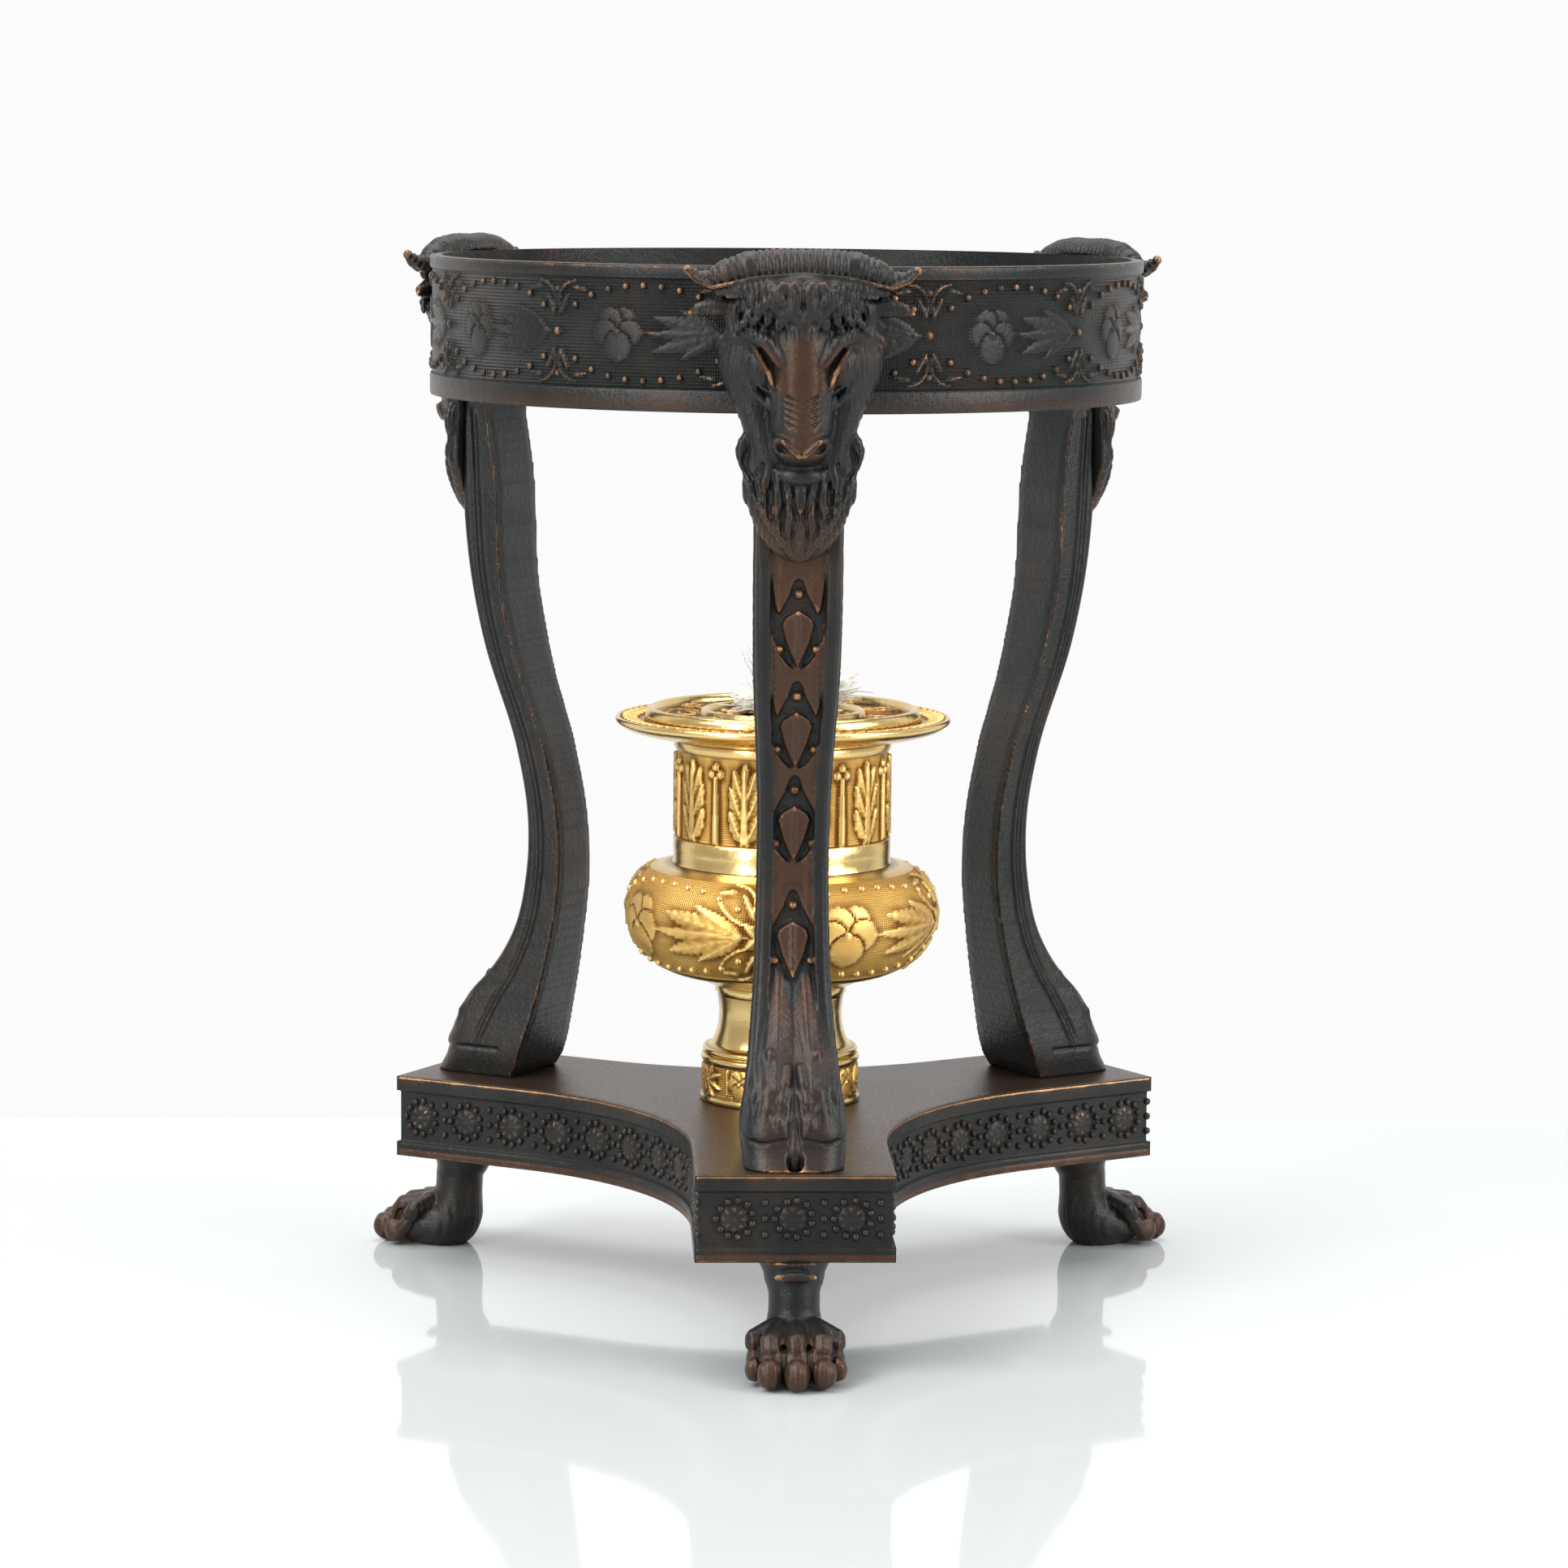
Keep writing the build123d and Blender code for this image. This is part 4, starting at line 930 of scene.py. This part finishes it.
for k in range(RING_REPEATS):
    for s, h in oval_string(MOTIF_MM, 6.9):
        a = math.radians(RING_START + 360 / RING_REPEATS * k) + s / RING_R
        at.append(((RING_R - 0.2) * math.cos(a), (RING_R - 0.2) * math.sin(a), mid_z + h))
        out.append((math.cos(a), math.sin(a), 0))
ring = join([ring, beads(at, out, 0.6, 0.8, 1.15)])
make("frieze_ring_chasing", ring[0], ring[1], BRONZE_CHASED, ring[2])

# ---------------------------------------------------------------- plinth
ARM_HALF, BEND_R, CORNER_R = 14.75, 51.5, 0.5  # half an arm's width, the hollow sides, the arms' corners
BEND_U = (ARM_HALF + BEND_R) / math.tan(math.pi / 3)  # where an arm's straight side starts


def plinth_path(step=0.36):
    """Outline of the three arms: x, y and the outward normal's x, y."""
    w, r, far = ARM_HALF, CORNER_R, ARM - CORNER_R
    side, end = int((far - BEND_U) / step), int((2 * w - 2 * r) / step)
    bend = int(BEND_R * math.pi / 3 / step)
    corner = [(math.sin(b), math.cos(b)) for b in np.linspace(0, math.pi / 2, 5)]
    arm = [(BEND_U + (far - BEND_U) * i / side, -w, 0, -1) for i in range(side)]
    arm += [(far + r * sn, -w + r - r * cs, sn, -cs) for sn, cs in corner]
    arm += [(ARM, -w + r + (2 * w - 2 * r) * i / end, 1, 0) for i in range(1, end)]
    arm += [(far + r * cs, w - r + r * sn, cs, sn) for sn, cs in corner]
    arm += [(far - (far - BEND_U) * i / side, w, 0, 1) for i in range(1, side)]
    for b in np.arange(bend) * math.pi / 3 / bend:
        sn, cs = math.sin(b), math.cos(b)
        arm.append((BEND_U - BEND_R * sn, w + BEND_R - BEND_R * cs, sn, cs))
    pts = []
    for turn in TURNS.values():
        a = math.radians(turn)
        along, aside = np.array([math.cos(a), math.sin(a)]), np.array([-math.sin(a), math.cos(a)])
        pts += [[*(along * u + aside * v), *(along * nu + aside * nv)] for u, v, nu, nv in arm]
    return np.array(pts).T


path = plinth_path()
top, low = PLINTH_TOP, PLINTH_Z
seg = np.hypot(np.diff(path[0], append=path[0][0]), np.diff(path[1], append=path[1][0]))
run = np.cumsum(seg) - seg
whole = run[-1] + seg[-1]
bend_mm, corner_mm = BEND_R * math.pi / 3, 0.78
side_mm = 2 * (ARM - CORNER_R - BEND_U) + bend_mm
end_mm = 2 * (ARM_HALF - CORNER_R)
mids = []  # rosettes: three on each arm's end, twelve along each hollow side
for k in range(3):
    c = whole / 3 * k + (side_mm - bend_mm) / 2 + corner_mm / 2 + end_mm / 2
    mids += [c + d for d in (-8.6, 0, 8.6)]
    first = c + end_mm / 2 + corner_mm
    mids += [(first + side_mm * (i + 0.5) / 12) % whole for i in range(12)]
mid_z, half_t = (top + low) / 2, 3.75
tz = np.linspace(half_t, -half_t, 30)
h = np.zeros((30, path.shape[1]))
for m in mids:
    ds = (run - m + whole / 2) % whole - whole / 2
    near = np.abs(ds) < 4.6
    q = np.hypot(ds[None, near], tz[:, None])
    ang = np.arctan2(tz[:, None], ds[None, near])
    petals = 0.10 * np.cos(8 * ang) * np.clip(q / 1.2, 0, 1) * (q < 1.8)
    disc = 0.34 * np.sqrt(np.clip(1 - (q / 2.0) ** 4, 0, 1)) + petals + 0.16 * mound(q / 0.45)
    h[:, near] = np.maximum(h[:, near], disc * (q < 2.0))
# The rim's first row carries 0.35 in its shine column, which the bronze shader reads as the warm tint: the
# same tint as the top, partly its brown patina and partly a painted reflection of the gilt urn.
rim = line([
    (-0.45, top + 0.06, 0.2, 0.35), (-0.1, top - 0.02, 0.72, 0), (0.06, top - 0.22, 0.72, 0),
    (0.08, top - 0.5, 0.3, 0), (0.08, top - 2.1, 0.12, 0), (0.0, top - 2.3, -0.2, 0),
    (-0.45, top - 2.45, -0.4, 0),
])
foot = line([
    (-0.45, low + 2.4, -0.4, 0), (-0.1, low + 2.25, 0.1, 0), (0.08, low + 2.0, 0.3, 0),
    (0.08, low + 1.45, 0.15, 0), (-0.1, low + 1.25, -0.5, 0), (0.08, low + 1.05, 0.3, 0.6),
    (0.08, low + 0.3, 0.35, 0.6), (-0.05, low, 0.7, 0.6), (-0.45, low - 0.06, 0.2, 0),
])
wall = upright(-0.48, mid_z + half_t, mid_z - half_t, 30, -0.1)
skin = swept(path, [rim, (wall, h), foot])
cols, n = path.shape[1], len(skin[0])
inner_row = skin[0][:cols] * (0.96, 0.96, 1)
top_faces = [[i, (i + 1) % cols, n + (i + 1) % cols, n + i] for i in range(cols)]
top_faces += [[n + i, n + (i + 1) % cols, n + cols] for i in range(cols)]
flat = {k: np.concatenate([v, np.zeros((cols + 1,) + v.shape[1:])]) for k, v in skin[2].items()}
# The plinth top and its centre take warm 0.35: partly the top's brown patina, partly a painted reflection of
# the gilt urn standing on it.
flat["warm"][n:] = 0.35
skin = (np.vstack([skin[0], inner_row, [(0, 0, top + 0.06)]]), skin[1] + top_faces, flat)
wreath = [(2.75 * math.cos(a), 2.75 * math.sin(a)) for a in np.arange(11) * 2 * math.pi / 11 + 0.3]
at, out = [], []
for m in mids:
    for s, t in wreath + [(4.2, 2.4), (4.2, 0.0), (4.2, -2.4)]:
        i = int(np.searchsorted(run, (m + s) % whole) % len(run))
        at.append((path[0][i] - 0.42 * path[2][i], path[1][i] - 0.42 * path[3][i], mid_z + t))
        out.append((path[2][i], path[3][i], 0))
plinth_skin = join([skin, beads(at, out, 0.62, 0.85, 0.45)])
make("plinth_chasing", plinth_skin[0], plinth_skin[1], BRONZE, plinth_skin[2])

# ---------------------------------------------------------------- urn
def lathe(name, cad, parts, cols, start=-90, body="stand", extra=None, mat=GILT):
    """A turned piece that replaces a CAD node."""
    shape = swept(ring_path(cols, start), parts, lap=True)
    if extra:
        shape = join([shape, extra])
    piece = make(name, shape[0], shape[1], mat, shape[2], body)
    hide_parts(cad)


# socle: a short band of leaves and beads
low = PLINTH_TOP + 0.06
half_t = 2.2
p = Panel(2 * math.pi * 12.2 / 8, np.linspace(half_t, -half_t, 22), 72)
pansy(p, 2.4, 0, 4.2)
for a in (20, -20, 60, -60):
    p.leaf(4.6, 0, math.radians(a), 3.6, 0.6, 0.34, 3)
p.wire([(0, -1.9), (0, 1.9)], 0.2, 0.3)
mid_z = (low + STEM_Z) / 2
band = upright(SOCLE_R - 0.35, mid_z + half_t, mid_z - half_t, 22)
lathe("urn_socle_cast", "urn_socle", [
    line([(2.1, STEM_Z, 0, 0), (11.9, STEM_Z, 0, 0.9), (12.35, STEM_Z - 0.15, 0.3, 1),
        (12.5, STEM_Z - 0.6, 0.2, 1), (12.2, STEM_Z - 1.1, -0.3, 1)]),
    (band, np.tile(p.h, (1, 8))),
    line([(12.2, low + 1.15, -0.4, 1), (12.6, low + 0.8, 0.2, 1), (12.6, low + 0.2, 0.2, 1),
        (12.4, low, 0, 1), (2.1, low, 0, 0)]),
], 72 * 8)

# stem
lathe("urn_stem_cast", "urn_stem", [
    line([(2.1, BOWL_Z, 0, 0), (10.0, BOWL_Z, 0, 1), (10.3, BOWL_Z - 0.3, 0.2, 1),
        (10.3, BOWL_Z - 1.3, 0.1, 1), (9.9, BOWL_Z - 1.7, -0.5, 1)]),
    catmull([(9.9, BOWL_Z - 1.9, -0.2, 1), (9.65, STEM_Z + 6.5, 0, 1), (10.0, STEM_Z + 3.6, 0, 1),
        (10.9, STEM_Z + 1.6, 0, 1), (11.6, STEM_Z + 1.15, -0.3, 1)], 0.4),
    line([(12.0, STEM_Z + 1.1, 0.1, 1), (12.2, STEM_Z + 0.8, 0.2, 1), (12.1, STEM_Z + 0.1, 0, 1),
        (2.1, STEM_Z, 0, 0)]),
], 128)

# bowl
BOWL_REPEATS, BOWL_START = 4, -100.6
repeat_mm = 37.0
top = NECK_Z
upper = [(17.3, top, -0.4, 0.9), (18.8, top - 0.25, 0, 0.9), (20.6, top - 0.75, 0, 0.5)]
face = catmull([(20.6, top - 0.75, 0, 0), (22.4, top - 2.1, 0, 0), (23.7, top - 4.3, 0, 0),
    (BOWL_R, top - 7.4, 0, 0), (23.8, top - 10.8, 0, 0), (22.0, top - 13.8, 0, 0),
    (19.6, top - 15.9, 0, 0)], 0.27)
lower = [(19.6, top - 16.0, -0.3, 1), (17.6, top - 17.0, 0, 1), (15.4, top - 17.5, 0, 1),
    (13.2, top - 18.1, 0, 1), (11.6, top - 18.9, 0, 1)]
arc_t = np.concatenate([[0], np.cumsum(np.hypot(*np.diff(face[:, :2], axis=0).T))])
t = arc_t[-1] / 2 - arc_t
p = motif(repeat_mm, t, 120, True)
for up in (1, -1):
    p.arc(0, up * 9.0, 7.4, -150 * up, -30 * up, 0.2, 0.34)
at, out = [], []
d = np.gradient(face[:, :2], axis=0)
for k in range(BOWL_REPEATS):
    for s, v in oval_string(repeat_mm, 7.6, 10):
        i = int(np.argmin(np.abs(t - v)))
        a = math.radians(BOWL_START) + (k + s / repeat_mm) * 2 * math.pi / BOWL_REPEATS
        n = np.array([-d[i, 1], d[i, 0]]) / np.hypot(*d[i])
        at.append((face[i, 0] * math.cos(a), face[i, 0] * math.sin(a), face[i, 1]))
        out.append((n[0] * math.cos(a), n[0] * math.sin(a), n[1]))
lathe("urn_bowl_cast", "urn_bowl", [
    line([(15.9, top, 0, 0)] + upper),
    (face, np.tile(p.h, (1, BOWL_REPEATS))),
    line(lower + [(11.0, BOWL_Z, 0, 0), (2.1, BOWL_Z, 0, 0), (2.1, BOWL_Z + 3.2, 0, 0),
        (10.3, BOWL_Z + 3.2, 0, 0), (18.5, BOWL_Z + 5.7, 0, 0), (22.1, BOWL_Z + 10.4, 0, 0),
        (21.1, BOWL_Z + 13.7, 0, 0), (15.9, top - 2.8, 0, 0)]),
], 120 * BOWL_REPEATS, BOWL_START, extra=beads(at, out, 0.62, 0.9))

# neck: ten acanthus leaves and ten stems over a burnished band
NECK_REPEATS = 10
top, low, half_t = DISH_Z, NECK_Z, 6.6
p = Panel(2 * math.pi * 16.5 / NECK_REPEATS, np.linspace(half_t, -half_t, 50), 46)
mid_s = p.length / 2
up = math.pi / 2
for sgn in (1, -1):
    for a, y, ln, w in ((0.42, -6.0, 5.2, 1.25), (0.38, -2.6, 5.4, 1.3), (0.30, 0.6, 4.8, 1.15)):
        p.leaf(mid_s + sgn * 0.5, y, up - sgn * a, ln, w, 0.42, 3)
p.leaf(mid_s, -6.6, up, 12.8, 2.3, 0.40, 7, 0.35)
for sgn in (1, -1):
    p.wire([(mid_s - sgn * 0.45, -6.6), (mid_s - sgn * 0.15, 4.5)], 0.3, 0.6)
for w, lo, hi in ((0.62, -6.6, -2.5), (0.48, -2.5, 1.0), (0.34, 1.0, 3.6)):
    p.wire([(0, lo), (0, hi)], w, 0.55)
for s, y in ((-0.85, 4.2), (0.85, 4.2), (0, 5.3)):
    p.dome(s, y, 0.62, 0.55)
lathe("urn_neck_cast", "urn_neck", [
    line([(14.6, top - 1.3, 0, 0), (15.65, top - 1.3, 0, 0), (15.65, top, 0, 0), (16.9, top, 0, 1),
        (17.1, top - 0.3, 0.3, 1), (17.0, top - 1.2, 0.1, 0.8), (16.7, top - 1.7, -0.2, 0.3)]),
    (upright(16.48, top - 1.9, top - 15.1, 50), np.tile(p.h, (1, NECK_REPEATS))),
    line([(16.7, top - 15.3, -0.4, 0), (17.05, top - 15.6, 0.3, 1), (17.05, top - 17.5, 0, 1),
        (16.95, low + 0.5, 0, 1), (17.25, low + 0.1, 0.2, 1), (17.25, low + 0.02, 0, 1),
        (15.8, low + 0.02, 0, 0), (15.8, low - 2.4, 0, 0), (14.6, low - 2.4, 0, 0)]),
], 46 * NECK_REPEATS, -94.5)

# dish: rim with a border of leaf tips on its upper face
DISH_REPEATS = 72
low = DISH_Z
p = Panel(2 * math.pi * 24.2 / DISH_REPEATS, np.linspace(1.5, -1.5, 13), 8)
p.leaf(p.length / 2, -1.5, up, 2.9, 0.8, 0.35, 0)
lathe("rim_dish_cast", "rim_dish", [
    line([(13.0, low, 0, 0), (13.0, LID_Z, 0, 0), (LID_R + 0.1, LID_Z, 0, 0.6),
        (LID_R + 0.1, LID_Z + 0.45, 0, 0.6), (22.5, low + 2.75, -0.3, 0.4)]),
    (across((22.6, low + 2.75, -0.2, 0), (25.4, low + 3.25, -0.2, 0), 13),
        np.tile(p.h[::-1], (1, DISH_REPEATS))),
    line([(25.6, low + 3.45, 0.4, 1), (26.0, low + 3.4, 0.6, 1), (DISH_R, low + 3.0, 0.5, 1),
        (DISH_R - 0.15, low + 2.6, 0.1, 1)]),
    catmull([(DISH_R - 0.3, low + 2.45, 0, 1), (24.6, low + 1.6, 0, 1), (22.0, low + 0.85, 0, 1),
        (19.1, low + 0.35, 0, 1), (17.5, low, -0.3, 1)], 0.4),
], 8 * DISH_REPEATS, mat=GILT_DULL)

# lid: two burnished rings with chased foliage between and a beaded centre
LID_REPEATS, HUB_REPEATS = 9, 14
top = LID_Z + 1.4
p = Panel(2 * math.pi * 16.2 / LID_REPEATS, np.linspace(-3.1, 3.1, 26), 56)
pansy(p, 2.6, 0, 4.6)
for a in (0, 28, -28, 58, -58):
    p.leaf(5.4, 0, math.radians(a), 5.2, 0.8, 0.5, 3)
for sgn in (1, -1):
    p.arc(9.6, sgn * 1.3, 1.3, -60 * sgn, 200 * sgn, 0.25, 0.45)
c = Panel(2 * math.pi * 7.5 / HUB_REPEATS, np.linspace(-3.6, 3.6, 24), 36)
c.leaf(c.length / 2, -3.6, up, 4.6, 1.1, 0.5, 3)
c.dome(0, -1.6, 0.8, 0.55)
c.dome(0, 1.0, 0.9, 0.6)
c.dome(c.length / 2, 2.4, 0.75, 0.5)
hub = 3.3
lathe("lid_cast", "lid", [
    line([(2.65, top, 0, 0.5), (hub, top, -0.2, 0.5)]),
    (across((hub + 0.2, top - 0.12, -0.6, 0), (11.3, top - 0.12, -0.6, 0), 24),
        np.tile(c.h, (1, HUB_REPEATS))),
    line([(11.5, top, -0.4, 1), (11.75, top + 0.75, 0.1, 1), (12.0, top + 1.0, 0.1, 1),
        (12.5, top + 1.0, 0.1, 1), (12.8, top + 0.75, 0.1, 1), (13.0, top, -0.4, 1)]),
    (across((13.15, top - 0.12, -0.6, 0), (19.35, top - 0.12, -0.6, 0), 26), np.tile(p.h, (1, LID_REPEATS))),
    catmull([(19.6, top, -0.4, 1), (19.85, top + 0.8, 0.1, 1), (20.5, top + 1.3, 0.15, 1),
        (21.15, top + 0.95, 0.1, 1), (LID_R, top + 0.2, 0, 1)], 0.3),
    line([(LID_R, LID_Z, 0, 1), (12.9, LID_Z, 0, 0.5), (12.9, LID_Z - 1.8, 0, 0.5),
        (11.7, LID_Z - 1.8, 0, 0.5), (11.7, LID_Z, 0, 0.5), (2.65, LID_Z, 0, 0.5)]),
], 56 * LID_REPEATS, body="lid", mat=GILT_DULL)


# ---------------------------------------------------------------- cotton wick
def fibres(base, way, reach, loose, count):
    """Loose bent fibres from a root, each a thin three-sided tube."""
    knots, sides = 7, 3
    root = np.array(base) + rng.normal(0, 1.0, (count, 3)) * (1, 1, 0.3) + (0, 0, 0.3)
    heading = way + rng.normal(0, loose * 0.55, (count, 3))
    heading /= np.linalg.norm(heading, axis=1, keepdims=True)
    curl = rng.normal(0, 0.24, (count, 3))
    length = reach * rng.uniform(0.5, 0.94, count)[:, None, None]
    k = np.linspace(0, 1, knots)[None, :, None]
    wave = rng.normal(0, 0.35, (count, 3))[:, None] * np.sin(k * 9 + rng.uniform(0, 6, (count, 1, 1)))
    pts = root[:, None] + heading[:, None] * length * k + curl[:, None] * k**2 * length * 0.28 + wave * k
    pts[..., 2] -= 1.6 * k[..., 0] ** 2 * rng.uniform(0, 1, (count, 1))
    pts[..., 2] = np.maximum(pts[..., 2], base[2] + 0.1 - 0.2 * k[..., 0])
    d = np.gradient(pts, axis=1)
    d /= np.linalg.norm(d, axis=2, keepdims=True) + 1e-9
    a = np.cross(d, (0.3, 0.5, 0.81))
    a /= np.linalg.norm(a, axis=2, keepdims=True) + 1e-9
    b = np.cross(d, a)
    w = rng.uniform(0.10, 0.24, (count, 1, 1)) * (1.1 - 0.6 * k)
    rings = np.stack([pts + w * (math.cos(q) * a + math.sin(q) * b) for q in (0, 2.094, 4.189)], 2)
    faces = []
    for o in np.arange(count) * knots * sides:
        for j in o + sides * np.arange(knots - 1):
            faces += [[j + c, j + (c + 1) % 3, j + 3 + (c + 1) % 3, j + 3 + c] for c in range(sides)]
        end = o + sides * (knots - 1)
        faces += [[o, o + 2, o + 1], [end, end + 1, end + 2]]
    return rings.reshape(-1, 3), faces, blank(count * knots * sides)


def lump(base, way, reach, fat):
    """The soft core of a lock."""
    base = np.array(base)
    tip = base + way * reach * 0.8
    core = Clay(np.minimum(base, tip) - 4, np.maximum(base, tip) + 4, 0.36)
    core.rope([base, (base + tip) / 2, tip], [1.7 * fat, 2.4 * fat, 1.7 * fat], 0.5)
    x, y, z = core.everywhere()
    core.d = core.d + 0.45 * np.sin(2.1 * x + y) * np.sin(1.9 * y + z) * np.sin(2.3 * z + x)
    core.d = core.d + 0.22 * np.sin(4.3 * x + 2.9 * y + 1.5 * np.sin(1.7 * z)) * np.sin(3.7 * y - 3.1 * z)
    core.d = np.maximum(core.d, (base[2] + 0.05 - z).astype(np.float32))
    verts, faces, _ = core.skin(0.9)
    return verts, faces.tolist(), blank(len(verts))


def wick():
    """Tufts of loose cotton, with a twisted cord below."""
    tube, foot, cols = top_of("wick_tube"), foot_of("wick"), 20
    cord = line([(0.05, foot, 0, 0), (1.75, foot, 0, 0), (1.85, foot + 0.4, 0, 0),
        (1.85, tube + 1.5, 0, 0)], 1.0)
    twist = 0.1 * np.sin(np.arange(cols) * 2 * math.pi / cols * 5 + np.arange(len(cord))[:, None] * 0.9)
    twist[0] = 0
    parts = [swept(ring_path(cols, 0), [(cord, twist)], True)]
    tufts = (
        ((-0.30, -0.35, 1.0), 13.0, 0.18, 420, 0.75),
        ((1.0, -0.12, 0.50), 12.0, 0.18, 560, 1.2),
        ((-0.9, -0.45, 0.30), 8.5, 0.22, 320, 1.1),
        ((0.35, 0.6, 0.8), 9.0, 0.26, 240, 0.9),
    )
    for way, reach, loose, count, fat in tufts:
        way = np.array(way) / np.linalg.norm(way)
        parts.append(fibres((0, 0, tube), way, reach, loose, count))
        parts.append(lump((0, 0, tube), way, reach, fat))
    return join(parts)


w = wick()
piece = make("wick_cotton", w[0], w[1], COTTON, w[2], "wick")
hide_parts("wick")

# ---------------------------------------------------------------- stage, light and camera
looks = {"steel_fixings": STEEL, "plain_brass": BRASS, "cork": CORK, "cotton": COTTON, "gilt_bronze": GILT}
for row in frame["record"]["subparts"]:
    materials = nodes[row["node"]].data.materials
    for i in range(len(materials)):
        materials[i] = looks.get(row["material_slot"], BRONZE)


def sheet(name, pts, faces, colour, rough, glow=0.0):
    mat, nt, bsdf, _ = material(name)
    feed(nt, bsdf, {"Base Color": colour, "Roughness": rough, "Emission Color": (1, 1, 1),
        "Emission Strength": glow})
    me = bpy.data.meshes.new(name)
    me.from_pydata(pts, [], faces)
    me.materials.append(mat)
    obj = bpy.data.objects.new(name, me)
    bpy.context.scene.collection.objects.link(obj)


edge = 0.137  # the table's far edge, in metres
table = [(-3, -3, 0), (3, -3, 0), (3, edge, 0), (-3, edge, 0), (-3, edge, -0.03), (3, edge, -0.03)]
sheet("table", table, [[0, 1, 2, 3], [3, 2, 5, 4]], (0.50, 0.525, 0.52), 0.05)
wall = [(-4, 1.6, -1.5), (4, 1.6, -1.5), (4, 1.6, 3.5), (-4, 1.6, 3.5)]
sheet("backdrop", wall, [[0, 1, 2, 3]], (0.0, 0.0, 0.0), 0.9, 0.955)

world = bpy.data.worlds.new("studio")
bpy.context.scene.world = world
world.use_nodes = True
world.node_tree.nodes["Background"].inputs[0].default_value = (1, 1, 1, 1)
world.node_tree.nodes["Background"].inputs[1].default_value = 0.55


def lamp(name, place, target, size, power):
    data = bpy.data.lights.new(name, "AREA")
    data.shape = "RECTANGLE"
    data.size, data.size_y = size
    data.energy = power
    obj = bpy.data.objects.new(name, data)
    obj.location = place
    obj.rotation_euler = (Vector(target) - Vector(place)).to_track_quat("-Z", "Y").to_euler()
    bpy.context.scene.collection.objects.link(obj)


lamp("key", (-0.6, -0.35, 0.85), (0, 0, 0.08), (0.5, 0.5), 8)
lamp("fill", (0.8, -0.35, 0.6), (0, 0, 0.08), (0.5, 0.6), 5)
lamp("top", (0.0, 0.15, 1.0), (0, 0, 0.05), (0.9, 0.7), 8)
lamp("strip_left", (-0.55, -0.62, 0.3), (0, 0, 0.08), (0.09, 0.5), 3)
lamp("strip_right", (0.75, -0.5, 0.3), (0, 0, 0.08), (0.09, 0.5), 2.5)

cam = bpy.data.cameras.new("camera")
cam.lens, cam.sensor_width = 119.3, 36.0
cam.clip_start = 0.01
camera = bpy.data.objects.new("camera", cam)
pitch, yaw, roll = math.radians(7.26), math.radians(2.34), math.radians(0.5)
aim = Matrix.Rotation(-yaw, 4, "Z") @ Matrix.Rotation(math.pi / 2 - pitch, 4, "X")
aim = aim @ Matrix.Rotation(roll, 4, "Z")
camera.matrix_world = Matrix.Translation((-0.0327, -0.8066, 0.1826)) @ aim
bpy.context.scene.collection.objects.link(camera)
bpy.context.scene.camera = camera
bpy.context.scene.view_settings.view_transform = "Standard"
